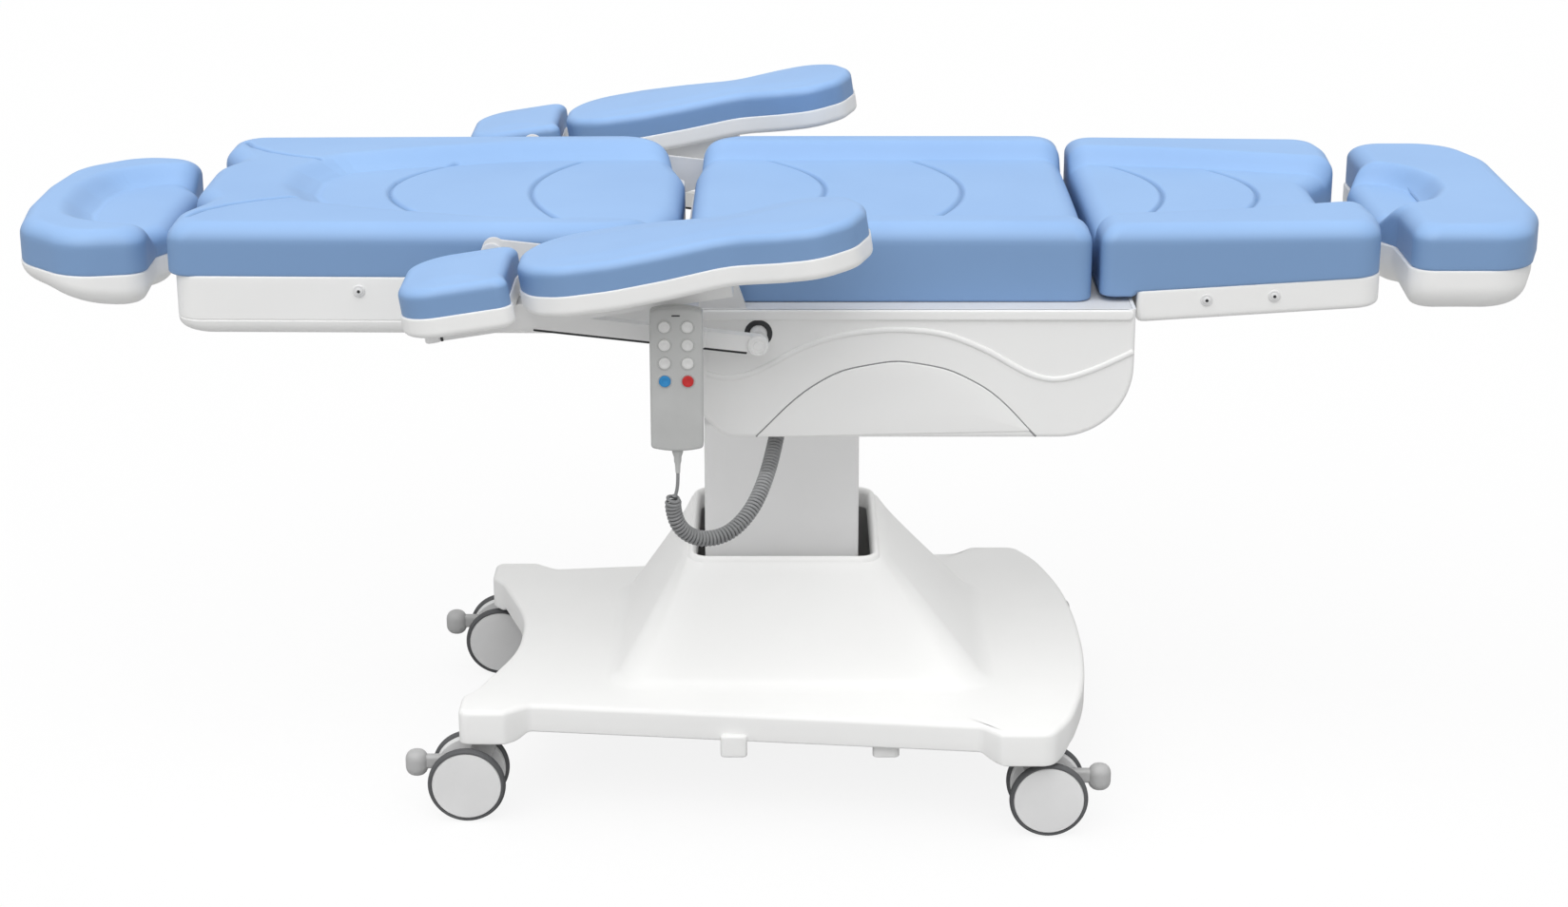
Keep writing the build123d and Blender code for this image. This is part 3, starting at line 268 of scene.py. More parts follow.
# a polygon with an arc at each corner; arcs and edges each take a fixed number of points, so that
# rings
# made from inset copies of the same corners match point for point
def arcLine(corners, radii, arcCounts, edgeCounts):
    toLast, toNext = np.roll(corners, 1, 0) - corners, np.roll(corners, -1, 0) - corners
    lengths = np.stack([np.linalg.norm(toLast, axis=1), np.linalg.norm(toNext, axis=1)])
    toLast, toNext = toLast / lengths[0][:, None], toNext / lengths[1][:, None]
    half = np.arccos(np.clip(np.sum(toLast * toNext, axis=1), -1, 1)) / 2
    radii = np.maximum(np.minimum(radii, 0.48 * lengths.min(axis=0) * np.tan(half)), 0.01)
    inward = toLast + toNext
    inward = inward / np.maximum(np.linalg.norm(inward, axis=1, keepdims=True), 1e-9)
    centre = corners + inward * (radii / np.sin(half))[:, None]
    reach = (radii / np.tan(half))[:, None]
    first, last = corners + toLast * reach - centre, corners + toNext * reach - centre
    line = []
    for k, (arcCount, edgeCount) in enumerate(zip(arcCounts, edgeCounts)):
        sweep = max(pi - 2 * half[k], 1e-5)
        step = np.linspace(0, 1, arcCount)[:, None]
        line.append(centre[k] + (np.sin((1 - step) * sweep) * first[k] + np.sin(step * sweep)
                                 * last[k]) / sin(sweep))
        following = (k + 1) % len(corners)
        step = np.linspace(0, 1, edgeCount + 2)[1:-1, None]
        line.append((centre[k] + last[k]) * (1 - step) + (centre[following] + first[following])
                    * step)
    return np.vstack(line)


# how many points each arc and edge of the polygon takes at about the given step
def pointCounts(corners, radii, step):
    run = np.linalg.norm(np.roll(corners, -1, 0) - corners, axis=1)
    heading = np.roll(corners, -1, 0) - corners
    angle = np.arctan2(heading[:, 1], heading[:, 0])
    turn = abs((angle - np.roll(angle, 1) + pi) % (2 * pi) - pi)
    arcs = [int(max(5, np.ceil(r * a / step))) for r, a in zip(radii, turn)]
    return arcs, [int(max(1, length / step - 4)) for length in run]


# the rounded polygon as points an equal step apart
def roundedOutline(corners, radii, count):
    corners, radii = turnedRight(corners, radii)
    return evenSteps(arcLine(corners, radii, [25] * len(corners), [1] * len(corners)), count)


# the same closed line, measured along its length and read again at equal steps
def evenSteps(line, count):
    closed = np.vstack([line, line[:1]])
    along = np.concatenate([[0], np.cumsum(np.linalg.norm(np.diff(closed, axis=0), axis=1))])
    wanted = np.linspace(0, along[-1], count, endpoint=False)
    return np.stack([np.interp(wanted, along, closed[:, k]) for k in range(closed.shape[1])],
                    axis=1)


# each point moved along its own inward normal
def moveIn(outline, distance):
    tangent = np.roll(outline, -1, 0) - np.roll(outline, 1, 0)
    normal = np.stack([tangent[:, 1], -tangent[:, 0]], axis=1)
    normal /= np.maximum(np.linalg.norm(normal, axis=1, keepdims=True), 1e-9)
    return outline - normal * distance


# shortest distance to a line of points; closed lines give it below zero inside
def distanceTo(points, line, closed=False):
    start = line if closed else line[:-1]
    end = np.roll(line, -1, 0) if closed else line[1:]
    run = end - start
    share = np.einsum("pij,ij->pi", points[:, None] - start, run) / np.maximum(np.sum(run * run, 1),
                                                                               1e-9)
    nearest = start + np.clip(share, 0, 1)[..., None] * run
    away = np.linalg.norm(points[:, None] - nearest, axis=2).min(axis=1)
    if not closed:
        return away
    above = start[:, 1] > points[:, 1:2]
    crossing = (above != (end[:, 1] > points[:, 1:2])) & (
        points[:, :1] < run[:, 0] * (points[:, 1:2] - start[:, 1]) / np.where(run[:, 1] == 0, 1e-9,
                                                                              run[:, 1])
        + start[:, 0])
    return np.where(crossing.sum(axis=1) % 2 == 1, -away, away)


# rows of rings joined by quads; each end closes on its middle point, or the last ring meets the
# first
def ringSkin(rings, wrap=False):
    rings = np.array(rings, float)
    rows, around = rings.shape[:2]
    points = rings.reshape(-1, 3)
    here = np.arange(around)
    after = (here + 1) % around
    low = np.arange(rows if wrap else rows - 1)
    high = (low + 1) % rows
    quads = np.stack([low[:, None] * around + here, low[:, None] * around + after,
                      high[:, None] * around + after, high[:, None] * around + here],
                     axis=2).reshape(-1, 4)
    faces = quads.tolist()
    if not wrap:
        points = np.vstack([points, rings[0].mean(axis=0), rings[-1].mean(axis=0)])
        firstPole, lastPole, top = rows * around, rows * around + 1, (rows - 1) * around
        faces += np.stack([after, here, np.full(around, firstPole)], axis=1).tolist()
        faces += np.stack([top + here, top + after, np.full(around, lastPole)], axis=1).tolist()
    return outwards(points, faces)


# the volume inside, summed over its triangles, is above zero when the faces look outwards
def outwards(points, faces):
    volume = 0.0
    for size in (3, 4):
        group = np.array([f for f in faces if len(f) == size])
        for k in range(1, size - 1):
            if len(group):
                a, b, c = points[group[:, 0]], points[group[:, k]], points[group[:, k + 1]]
                volume += np.einsum("ij,ij->i", a, np.cross(b, c)).sum()
    return (points, faces) if volume > 0 else (points, [f[::-1] for f in faces])


# several skins in one
def joined(*skins):
    points, faces, base = [], [], 0
    for skinPoints, skinFaces in skins:
        points.append(skinPoints)
        faces += [[i + base for i in f] for f in skinFaces]
        base += len(skinPoints)
    return np.vstack(points), faces


# a skin with its points changed, turned outwards again
def moved(skin, change):
    return outwards(change(skin[0]), skin[1])


# the skin itself on the far side, its mirror image across the middle on the near side
def mirrored(skin, side):
    return skin if side > 0 else moved(skin, lambda p: p * (1, -1, 1))


# a skin made an object in metres, on its body, in its slot and in place of its CAD nodes
def newPiece(name, skin, body, material, stands=(), sharp=38):
    points, faces = skin
    mesh = bpy.data.meshes.new(name)
    mesh.from_pydata((points * millimetre).tolist(), [], faces)
    mesh.validate()
    mesh.shade_smooth()
    mesh.set_sharp_from_angle(angle=radians(sharp))
    mesh.materials.append(finish[material])
    piece = bpy.data.objects.new(name, mesh)
    bpy.context.scene.collection.objects.link(piece)
    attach(piece, body)
    if stands:
        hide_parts(*stands)
    return piece


# a moulded pad or tray: a flat underside, a rounded lower edge, sides that pull in a little, a
# rounded
# upper edge and a top whose height is a function of the place; rows shrink onto a short middle line
def moulded(corners, radii, step, spec, topHeight):
    corners, radii = turnedRight(corners, radii)
    counts = pointCounts(corners, radii, step)
    middle, spine = np.array([spec["middle"], spec.get("across", 0.0)]), spec.get("spine", 0)
    bottom, lowIn, lowUp = spec["bottom"], spec["lowIn"], spec["lowUp"]
    upIn, upDown = spec["upIn"], spec["upDown"]

    def drawnIn(distance):
        return arcLine(insetCorners(corners, distance), radii, *counts)

    def shrunk(line, share):
        target = np.column_stack([np.full(len(line), middle[0]),
                                  middle[1] + np.clip(line[:, 1] - middle[1], -spine, spine)])
        return target + (line - target) * share

    outline = drawnIn(0)

    def lowRing(distance):
        if not spec.get("bowl"):
            return drawnIn(distance)
        size = np.linalg.norm(outline - shrunk(outline, 0), axis=1, keepdims=True)
        return shrunk(outline, 1 - distance / size)

    level = bottom(outline) if callable(bottom) else np.full(len(outline), float(bottom))
    rows = [np.column_stack([shrunk(lowRing(lowIn), share), level]) for share in (0.05, 0.5, 0.9)]
    for turn in np.linspace(0, pi / 2, spec.get("lowSteps", 8)):
        rows.append(np.column_stack([lowRing(lowIn * (1 - sin(turn))),
                                     level + lowUp * (1 - cos(turn))]))
    edge = topHeight(outline) - upDown
    for share in np.linspace(0, 1, 9)[1:-1]:
        rows.append(np.column_stack([outline, level + lowUp + (edge - level - lowUp) * share]))
    if spec.get("seam"):
        for up, inwards in ((-1.5, 0), (-0.7, 0.8), (0.7, 0.8), (1.5, 0)):
            rows.append(np.column_stack([drawnIn(inwards),
                                         np.full(len(outline), spec["seam"] + up)]))
        rows = rows[:3] + sorted(rows[3:], key=lambda row: row[:, 2].mean())
    for turn in np.linspace(0, pi / 2, spec.get("upSteps", 14)):
        place = drawnIn(upIn * (1 - cos(turn)))
        rows.append(np.column_stack([place, topHeight(place) - upDown * (1 - sin(turn))]))
    rim = drawnIn(upIn)
    for share in np.linspace(1, 0.004, spec.get("rings", 12))[1:]:
        place = shrunk(rim, share)
        rows.append(np.column_stack([place, topHeight(place)]))
    return ringSkin(rows)


# a profile of (radius, height) turned round an axis through a centre point
def turned(profile, centre, axis="z", around=48):
    angle = np.linspace(0, 2 * pi, around, endpoint=False)
    rows = []
    for radius, height in profile:
        a, b, c = radius * np.cos(angle), radius * np.sin(angle), np.full(around, float(height))
        order = {"z": (a, b, c), "y": (a, c, b)}[axis]
        rows.append(np.column_stack(order) + centre)
    return ringSkin(rows)


# the same about a line that runs across the table; heights count outwards from its middle
def turnedAcross(profile, centre, side, around=48):
    return turned([(radius, height * side) for radius, height in profile], centre, "y", around)


# an oval section carried along a path; each section's sides come from the last one's, so it never
# twists
def carried(path, halfWide, halfThick, around=12):
    path = np.array(path, float)
    tangent = np.gradient(path, axis=0)
    tangent /= np.linalg.norm(tangent, axis=1, keepdims=True)
    side = np.cross(tangent[0], (0, 0, 1) if abs(tangent[0][2]) < 0.9 else (0, 1, 0))
    angle = np.linspace(0, 2 * pi, around, endpoint=False)
    ring = np.stack([np.cos(angle), np.sin(angle)], axis=1)
    rows = []
    for place, along in zip(path, tangent):
        side = side - along * side.dot(along)
        side = side / np.linalg.norm(side)
        rows.append(place + ring[:, :1] * side * halfWide + ring[:, 1:] * np.cross(along, side)
                    * halfThick)
    return ringSkin(rows)


# a box with rounded corners in plan and rounded edges: low and high corner, corner radius, edge
# radius
def softBox(low, high, corner, edge, step=3.0):
    (x0, y0, z0), (x1, y1, z1) = low, high
    spec = {"middle": (x0 + x1) / 2, "across": (y0 + y1) / 2, "bottom": z0, "lowIn": edge,
            "lowUp": edge, "upIn": edge, "upDown": edge, "lowSteps": 6, "upSteps": 6, "rings": 3}
    return moulded([(x0, y0), (x1, y0), (x1, y1), (x0, y1)], corner, step, spec,
                   lambda p: np.full(len(p), float(z1)))


print("shapes: helpers ready")


# cushions: bolsters at full height round a lower field, thin creases across it
fieldLook = {"points": 90, "hollowAt": 0.45, "hollowWidth": 4.5}
creaseLook = {"depth": 3.4, "width": 3.4, "shadeBelow": 12, "shadeWidth": 2.6, "shade": 0.85}


# a parabola across the table, from its middle to its two ends
def crease(apexX, endX, reach):
    across = np.linspace(-1, 1, 41)
    return np.stack([apexX + (endX - apexX) * across ** 2, across * reach], axis=1)


# the mirror image of a half outline, so that corners are given once, from the middle line outwards
# and back
def bothSides(near, radii):
    corners = near + [(x, -y) for x, y in near[::-1]]
    return corners, radii + radii[::-1]


# full height, less the field with its soft wall and a slight hollow at the wall's foot, less each
# crease
def cushionTop(spec):
    field = roundedOutline(*bothSides(*spec["field"]), fieldLook["points"])
    wallWidth = spec["wall"]

    def height(place):
        away = distanceTo(place, field, True)
        inside = smoothStep(wallWidth * 0.5, -wallWidth * 0.5, away)
        result = spec["top"] - spec["drop"] * inside
        hollow = (away + wallWidth * fieldLook["hollowAt"]) / fieldLook["hollowWidth"]
        result = result - spec["foot"] * np.exp(-hollow ** 2)
        result = result + spec["crown"] * np.clip(1 - (place[:, 1] / spec["crownReach"]) ** 2, 0,
                                                  1) * inside
        for line in spec["creases"]:
            away = distanceTo(place, line) / creaseLook["width"]
            result = result - creaseLook["depth"] * np.exp(-away ** 2)
        return result
    return height


# painted crease shade: how deep in a crease each point lies, 0 to 1, kept on the mesh to darken the
# fabric's colour there
def markCreaseShade(piece, spec):
    count = len(piece.data.vertices)
    place = np.zeros(count * 3, np.float32)
    piece.data.vertices.foreach_get("co", place)
    place = place.reshape(-1, 3) / millimetre
    shadeAmount = np.zeros(count)
    upper = place[:, 2] > spec["top"] - spec["drop"] - creaseLook["shadeBelow"]
    for line in spec["creases"]:
        near = np.exp(-(distanceTo(place[upper, :2], line) / creaseLook["shadeWidth"]) ** 2)
        shadeAmount[upper] = np.maximum(shadeAmount[upper], near)
    layer = piece.data.attributes.new("creaseShade", "FLOAT", "POINT")
    layer.data.foreach_set("value", (shadeAmount * creaseLook["shade"]).astype(np.float32))


shoulderCrease = [(-604, 108), (-640, 124), (-676, 148), (-704, 178), (-718, 208)]
legRim = {"from": 442, "slope": 0.05, "drop": 4.5}


# the leg shell's rim climbs towards the foot end
def legRise(place):
    return legRim["slope"] * np.clip(place[:, 0] - legRim["from"], 0, None)


seatPad = {
    "outline": ([(-106, -120), (-92, -265), (387, -265)], [60, 40, 20]), "step": 3.6,
    "middle": 140, "bottom": 689.3, "lowIn": 4, "lowUp": 4, "upIn": 30, "upDown": 26, "upSteps": 16,
    "rings": 100, "top": 785.0, "drop": 20.0, "wall": 34.0, "foot": 1.6, "crown": 3.0,
    "crownReach": 190, "field": ([(-160, -198), (430, -198)], [20, 20]),
    "creases": [crease(65, -10, 178), crease(242, 186, 172)],
}
backPad = {
    "outline": ([(-119, -95), (-145, -222), (-181, -268), (-741, -258), (-742, -176), (-714, -112),
                 (-737, -66)],
                [90, 60, 46, 30, 40, 36, 60]), "step": 3.8,
    "middle": -430, "bottom": 719.0, "lowIn": 4, "lowUp": 4, "upIn": 29, "upDown": 25,
    "upSteps": 16, "rings": 105, "top": 784.0, "drop": 19.0, "wall": 50.0, "foot": 1.6,
    "crown": 3.0, "crownReach": 190,
    "field": ([(-611, -42), (-584, -112), (-495, -150), (-330, -199), (-60, -205)],
              [40, 60, 200, 300, 40]), "creases": [crease(-497, -428, 150), crease(-314, -262, 165)]
    + [np.array(shoulderCrease) * (1, side) for side in (-1, 1)],
}
legPad = {
    "outline": ([(397, -265), (738, -250), (748, -190), (744, -118), (701, -48)],
                [16, 52, 60, 36, 40]), "step": 3.6,
    "middle": 560,
    "bottom": lambda place: 695 + 5.8 * smoothStep(434, 440, place[:, 0]) + legRise(place),
    "lowIn": 4, "lowUp": 4, "upIn": 28, "upDown": 24, "upSteps": 16, "rings": 90, "top": 783.0,
    "drop": 20.0, "wall": 34.0, "foot": 1.6, "crown": 2.0, "crownReach": 150,
    "field": ([(330, -192), (560, -158), (700, -118), (790, -104)], [30, 300, 200, 30]),
    "creases": [crease(500, 452, 150), crease(622, 578, 128)],
}
headPad = {
    "outline": ([(-763, -98), (-778, -126), (-776, -208), (-868, -226), (-944, -152), (-957, -50)],
                [30, 22, 30, 70, 80, 80]), "step": 3.4,
    "middle": -835, "spine": 60, "bottom": 708.3, "lowIn": 4, "lowUp": 4, "upIn": 26, "upDown": 22,
    "upSteps": 14, "rings": 70, "top": 764.0, "drop": 20.0, "wall": 46.0, "foot": 0.8, "crown": 0.0,
    "crownReach": 100,
    "field": ([(-896, -40), (-880, -112), (-820, -150), (-690, -152)], [60, 60, 90, 20]),
    "creases": [],
}
footPad = {
    "outline": ([(757, -88), (781, -128), (781, -246), (922, -246), (956, -140)],
                [34, 30, 26, 60, 90]), "step": 3.4,
    "middle": 830, "spine": 50, "bottom": 722.3, "lowIn": 4, "lowUp": 4, "upIn": 26, "upDown": 21,
    "upSteps": 14, "rings": 70, "top": 778.0, "drop": 24.0, "wall": 34.0, "foot": 0.8, "crown": 0.0,
    "crownReach": 100,
    "field": ([(700, -100), (790, -106), (826, -84), (848, -26)], [20, 60, 60, 60]), "creases": [],
}
cushions = (("seatCushion", seatPad, "seat", "seat_cushion"),
            ("backCushion", backPad, "back", "back_cushion"),
            ("legCushion", legPad, "leg", "leg_cushion"),
            ("headCushion", headPad, "head", "head_cushion"),
            ("footCushion", footPad, "foot", "foot_cushion"))
for name, spec, body, node in cushions:
    skin = moulded(*bothSides(*spec["outline"]), spec["step"], spec, cushionTop(spec))
    piece = newPiece(name, skin, body, "coatedFabric", [node], 60)
    markCreaseShade(piece, spec)
    print("%s: %d points" % (name, len(skin[0])))


# shells under the cushions, one closed tray each, with a parting line round the side
def flatTop(level):
    return lambda place: np.full(len(place), float(level))


backTray = {"outline": ([(-124, -268), (-733, -259)], [24, 34]), "middle": -430, "bottom": 645.0,
            "lowIn": 22, "lowUp": 19, "upIn": 2.5, "upDown": 2.5, "top": 720.5, "seam": 665.5,
            "upSteps": 6, "rings": 5}
legTray = {"outline": ([(442, -263), (741, -248), (746, -190), (743, -112), (700, -40)],
                       [6, 50, 60, 40, 40]), "middle": 590,
           "bottom": 667.0, "lowIn": 7, "lowUp": 7, "upIn": 2, "upDown": 2, "top": 706.5,
           "upSteps": 5, "rings": 5}
headTray = {"outline": ([(-764, -98), (-779, -126), (-777, -209), (-868, -227), (-945, -152),
                         (-958, -50)], [30, 22, 30, 70, 80, 80]), "middle": -845,
            "spine": 90, "bottom": lambda p: 664 + 16 * smoothStep(-800, -940, p[:, 0]),
            "lowIn": 40, "lowUp": 28, "upIn": 2, "upDown": 2, "top": 709.5, "upSteps": 5,
            "rings": 5, "bowl": True, "lowSteps": 14}
footTray = {"outline": ([(754, -90), (778, -128), (778, -246), (916, -246), (951, -140)],
                        [30, 26, 30, 62, 90]), "middle": 840,
            "spine": 90, "bottom": 669.0, "lowIn": 40, "lowUp": 34, "upIn": 2, "upDown": 2,
            "top": 723.5, "upSteps": 5, "rings": 5, "bowl": True, "lowSteps": 14}
for name, spec, body, node in (("backShell", backTray, "back", "back_shell"),
                               ("legShell", legTray, "leg", "leg_shell"),
                               ("headShell", headTray, "head", "head_shell"),
                               ("footShell", footTray, "foot", "foot_shell")):
    skin = moulded(*bothSides(*spec["outline"]), 5.0, spec, flatTop(spec["top"]))
    if body == "leg":
        skin[0][:, 2] += legRise(skin[0]) - legRim["drop"]
    newPiece(name, skin, body, "shellPlastic", [node])
print("shells: four trays made")

# cap screws through the shells: a domed white washer with a socket whose shade is painted dark
screw = {"washer": 7.5, "head": 4.6, "socket": 2.2, "socketTop": 3.15,
         "back": ((-505, 263.6, 703),), "leg": ((527, 259.2, 690.5), (610, 255.2, 694.5))}


# the washer's step and the domed head, turned about a line across the table
def capScrew(x, y, z, side):
    profile = [(0.01, -2), (screw["washer"], -2), (screw["washer"], 0.6),
               (screw["washer"] - 0.9, 1.3), (screw["head"] + 0.6, 1.3), (screw["head"], 1.0),
               (screw["head"], 2.5), (screw["head"] - 0.8, 3.0), (0.01, 3.1)]
    return turnedAcross(profile, (x, y, z), side, 32)


# a dark six-sided plug that shows as the driver's socket: painted shade where the recess is
def socket(x, y, z, side):
    radius, top = screw["socket"], screw["socketTop"]
    return turnedAcross([(0.01, 0), (radius, 0), (radius, top), (0.01, top)], (x, y, z), side, 6)


for body in ("back", "leg"):
    spots = [(x, y * side, z, side) for x, y, z in screw[body] for side in (-1, 1)]
    newPiece(body + "Screws", joined(*[capScrew(*s) for s in spots]), body,
             "capPlastic", [body + "_screws"])
    newPiece(body + "ScrewsSocketShades", joined(*[socket(*s) for s in spots]), body,
             "darkPaintAndShade")
print("screws: set in the shells")


# base cover: one shell whose outside runs up the plate's edge, over the plate, up the cowl to its
# rim,
# and whose inside runs back down; the cowl's rings are read at the directions of the plate's points
base = {"edge": 112.0, "top": 150.0, "rim": 312.0, "thick": 4.0, "lip": 9.0, "middle": (-12.0, 0.0),
        "around": 1200, "edgeRound": 7.0, "flare": 13.0, "lobeDrop": 8.0,
        "lobes": ((-373, 240), (318, 302)), "lobeReach": 52,
        "plate": ([(-344, -60), (-388, -194), (-404, -214), (-404, -271), (-345, -271),
                   (-315, -247), (261, -312), (285, -338), (350, -338), (378, -285), (404, -180),
                   (414, -60)],
                  [300, 120, 24, 14, 12, 14, 14, 12, 24, 345, 680, 1250]),
        "cowlFoot": ([(-210, -195), (277, -195)], [44, 44]),
        "rimLine": ([(-112, -141), (136, -141)], [26, 26]), "evenOver": 31, "tabs": (-52, 142),
        "tabHalf": 17, "tabDeep": (272, 284), "tabHigh": (92, 122)}


# a closed line read at fixed directions from a middle point
def readByAngle(line, middle, directions):
    offset = line - middle
    angle = np.arctan2(offset[:, 1], offset[:, 0]) % (2 * pi)
    order = np.argsort(angle)
    radius = np.hypot(offset[:, 0], offset[:, 1])[order]
    reach = np.interp(directions, angle[order], radius, period=2 * pi)
    return np.stack([middle[0] + reach * np.cos(directions),
                     middle[1] + reach * np.sin(directions)], axis=1)


# the direction of each plate point from the middle, kept from turning back and evened out, so that
# the
# cowl's rings have a point for each of the plate's
def baseDirections(plate, middle):
    angle = np.unwrap(np.arctan2(plate[:, 1] - middle[1], plate[:, 0] - middle[0]))
    angle = np.maximum.accumulate(angle)
    count = len(angle)
    tripled = np.concatenate([angle - 2 * pi, angle, angle + 2 * pi])
    window = np.ones(base["evenOver"]) / base["evenOver"]
    return np.convolve(tripled, window, "same")[count:2 * count]


# rings of points, each a closed line at a height or a height for each point
def baseCoverSkin():
    middle = np.array(base["middle"])
    plate = roundedOutline(*bothSides(*base["plate"]), base["around"])
    directions = baseDirections(plate, middle)
    foot = readByAngle(roundedOutline(*bothSides(*base["cowlFoot"]), 4000), middle, directions)
    rim = readByAngle(roundedOutline(*bothSides(*base["rimLine"]), 4000), middle, directions)
    nearLobe = np.min([np.hypot(plate[:, 0] - x, abs(plate[:, 1]) - y) for x, y in base["lobes"]],
                      axis=0)
    low = base["edge"] - base["lobeDrop"] * smoothStep(base["lobeReach"] + 8, base["lobeReach"] - 8,
                                                       nearLobe)
    rows = []

    def ring(line, height):
        rows.append(np.column_stack([line, np.broadcast_to(height, len(line))]))
    edgeRound, flare, thick, top = base["edgeRound"], base["flare"], base["thick"], base["top"]
    for turn in np.linspace(0, pi / 2, 6):
        ring(moveIn(plate, 3 * (1 - sin(turn))), low + 3 * (1 - cos(turn)))
    for share in (0.33, 0.66, 1.0):
        ring(plate, low + 3 + (top - edgeRound - low - 3) * share)
    for turn in np.linspace(0, pi / 2, 8)[1:]:
        ring(moveIn(plate, edgeRound * (1 - cos(turn))), top - edgeRound * (1 - sin(turn)))
    inner, outer = moveIn(plate, edgeRound), moveIn(foot, -flare)
    for share in (0.25, 0.5, 0.75, 0.9, 1.0):
        ring(inner + (outer - inner) * share, top)
    slope = base["rim"] - top
    for turn in np.linspace(0, pi / 2, 9)[1:]:
        height = flare * (1 - cos(turn))
        ring(moveIn(foot + (rim - foot) * height / slope, -flare * (1 - sin(turn))), top + height)
    lip = base["lip"]
    for share in np.linspace(flare / slope, 1 - lip / slope, 14)[1:]:
        ring(foot + (rim - foot) * share, top + slope * share)
    for turn in np.linspace(0, pi, 17)[1:]:
        ring(moveIn(rim, -1.5 + (lip + 1.5) / 2 * (1 - cos(turn))),
             base["rim"] - lip + lip * sin(turn))
    ring(moveIn(rim, lip + 1), base["rim"] - 26)
    for share in (0.7, 0.2, 0.0):
        ring(moveIn(foot + (rim - foot) * share, thick), top + slope * share - thick)
    ring(moveIn(plate, thick + edgeRound), top - thick)
    ring(moveIn(plate, thick), top - thick - edgeRound)
    ring(moveIn(plate, thick), low)
    return ringSkin(rows, wrap=True)


# a small rounded block below the plate's long edge
def tabSkin(x, side):
    (y0, y1), (z0, z1), half = sorted(side * y
                                      for y in base["tabDeep"]), base["tabHigh"], base["tabHalf"]
    return softBox((x - half, y0, z0), (x + half, y1, z1), 5, 3)


newPiece("baseCover", baseCoverSkin(), "base", "coverPlastic", ["base_cover"])
newPiece("baseTabs", joined(*[tabSkin(x, side) for x in base["tabs"] for side in (-1, 1)]), "base",
         "coverPlastic")
print("base: cover made")


# seat cover: the plain moulded box stays, and thin parts are laid on both long faces
coverFace = {"half": 300.0,
             "arch": [(-22, 528.5), (-14, 536), (14, 566), (40, 589), (80, 613), (149, 626),
                      (212, 615), (261, 589), (289, 563), (312, 536), (320, 528.5)],
             "rib": [(-112, 626), (-84, 608), (-52, 600), (-16, 614), (37, 645), (85, 660),
                     (146, 666), (206, 661), (259, 639), (308, 608), (341, 598), (389, 614),
                     (435, 637)],
             "proud": 1.6, "ledge": ((-108, 677), (434, 690))}
shaft = {"centre": (-19, 0, 660), "hole": [(0.01, 299), (17, 299), (17, 300.3), (0.01, 300.3)],
         "sleeve": [(0.01, 296), (10.5, 296), (10.5, 331), (12.5, 333), (0.01, 334)]}


# a flat shape in the side view, given a thickness outwards from a long face
def onLongFace(corners, radii, side, low, high, edge, step=3.0):
    middle = np.mean(corners, axis=0)
    spec = {"middle": middle[0], "across": middle[1], "bottom": low, "lowIn": 0.01, "lowUp": 0.01,
            "upIn": edge, "upDown": edge, "lowSteps": 2, "upSteps": 6, "rings": 3}
    points, faces = moulded(corners, radii, step, spec, flatTop(high))
    return outwards(np.column_stack([points[:, 0], side * points[:, 2], points[:, 1]]), faces)


# a line through the given points, evened out by taking each point halfway to its neighbours' middle
def softLine(control, count, passes):
    control = np.array(control, float)
    along = np.concatenate([[0], np.cumsum(np.linalg.norm(np.diff(control, axis=0), axis=1))])
    wanted = np.linspace(0, along[-1], count)
    line = np.stack([np.interp(wanted, along, control[:, k]) for k in range(control.shape[1])],
                    axis=1)
    for _ in range(passes):
        line[1:-1] = (line[:-2] + 2 * line[1:-1] + line[2:]) / 4
    return line


# a line in the side view carried as a flat strip on a long face
def ribSkin(line, side, wide, proud):
    path = np.column_stack([line[:, 0], np.full(len(line), side * coverFace["half"]), line[:, 1]])
    return carried(path, proud, wide, 16)


archLine = softLine(coverFace["arch"], 120, 30)
archCorners = archLine[::4]
(x0, z0), (x1, z1) = coverFace["ledge"]
sides = (-1, 1)
panels = [onLongFace(archCorners, 1.0, s, 299.2, coverFace["half"] + coverFace["proud"],
                     1.4) for s in sides]
ribs = [ribSkin(softLine(coverFace["rib"], 120, 24), s, 3.6, 2.4) for s in sides]
ledges = [onLongFace([(x0, z0), (x1, z0), (x1, z1), (x0, z1)], [2, 6, 6, 2], s, 298.5, 304.0, 2.4,
                     1.5) for s in sides]
# painted shade: a thin grey strip along the arch line stands for the shade in its groove
grooveShades = [ribSkin(archLine + (0, 0.4), s, 1.2, 0.5) for s in sides]
holeShades = [turnedAcross(shaft["hole"], shaft["centre"], s) for s in sides]
sleeves = [turnedAcross(shaft["sleeve"], shaft["centre"], s) for s in sides]
newPiece("coverPanels", joined(*panels), "seat", "coverPlastic")
newPiece("coverGrooveShades", joined(*grooveShades), "seat", "cordRubberAndGrooveShade")
newPiece("coverRibs", joined(*ribs), "seat", "coverPlastic")
newPiece("coverLedges", joined(*ledges), "seat", "coverPlastic")
newPiece("shaftSleeves", joined(*sleeves), "seat", "capPlastic")
# painted shade: a thin dark disc on each long face where the shaft's hole is
newPiece("shaftHoleShades", joined(*holeShades), "seat", "holeShade")
print("seat cover: face details laid on")


# armrests: drawn on their own plane, which climbs towards the foot end
armrest = {"slope": 0.157, "height": 832.0, "padDepth": 37.0, "shellTop": 37.3, "shellDepth": 61.0,
           "endPlate": ((-424, 352.5, -92.5), (-405, 397.5, -60.5)),
           "endGap": ((-405.5, 353.5, -91.6), (-402.5, 396.5, -61.0)),
           "screwsAt": (-416, -366, -300),
           "screw": [(0.01, 356), (6.2, 356), (6.2, 353.6), (5.2, 352.8), (0.01, 352.6)],
           "screwLevel": -77}
tilt = atan(armrest["slope"])


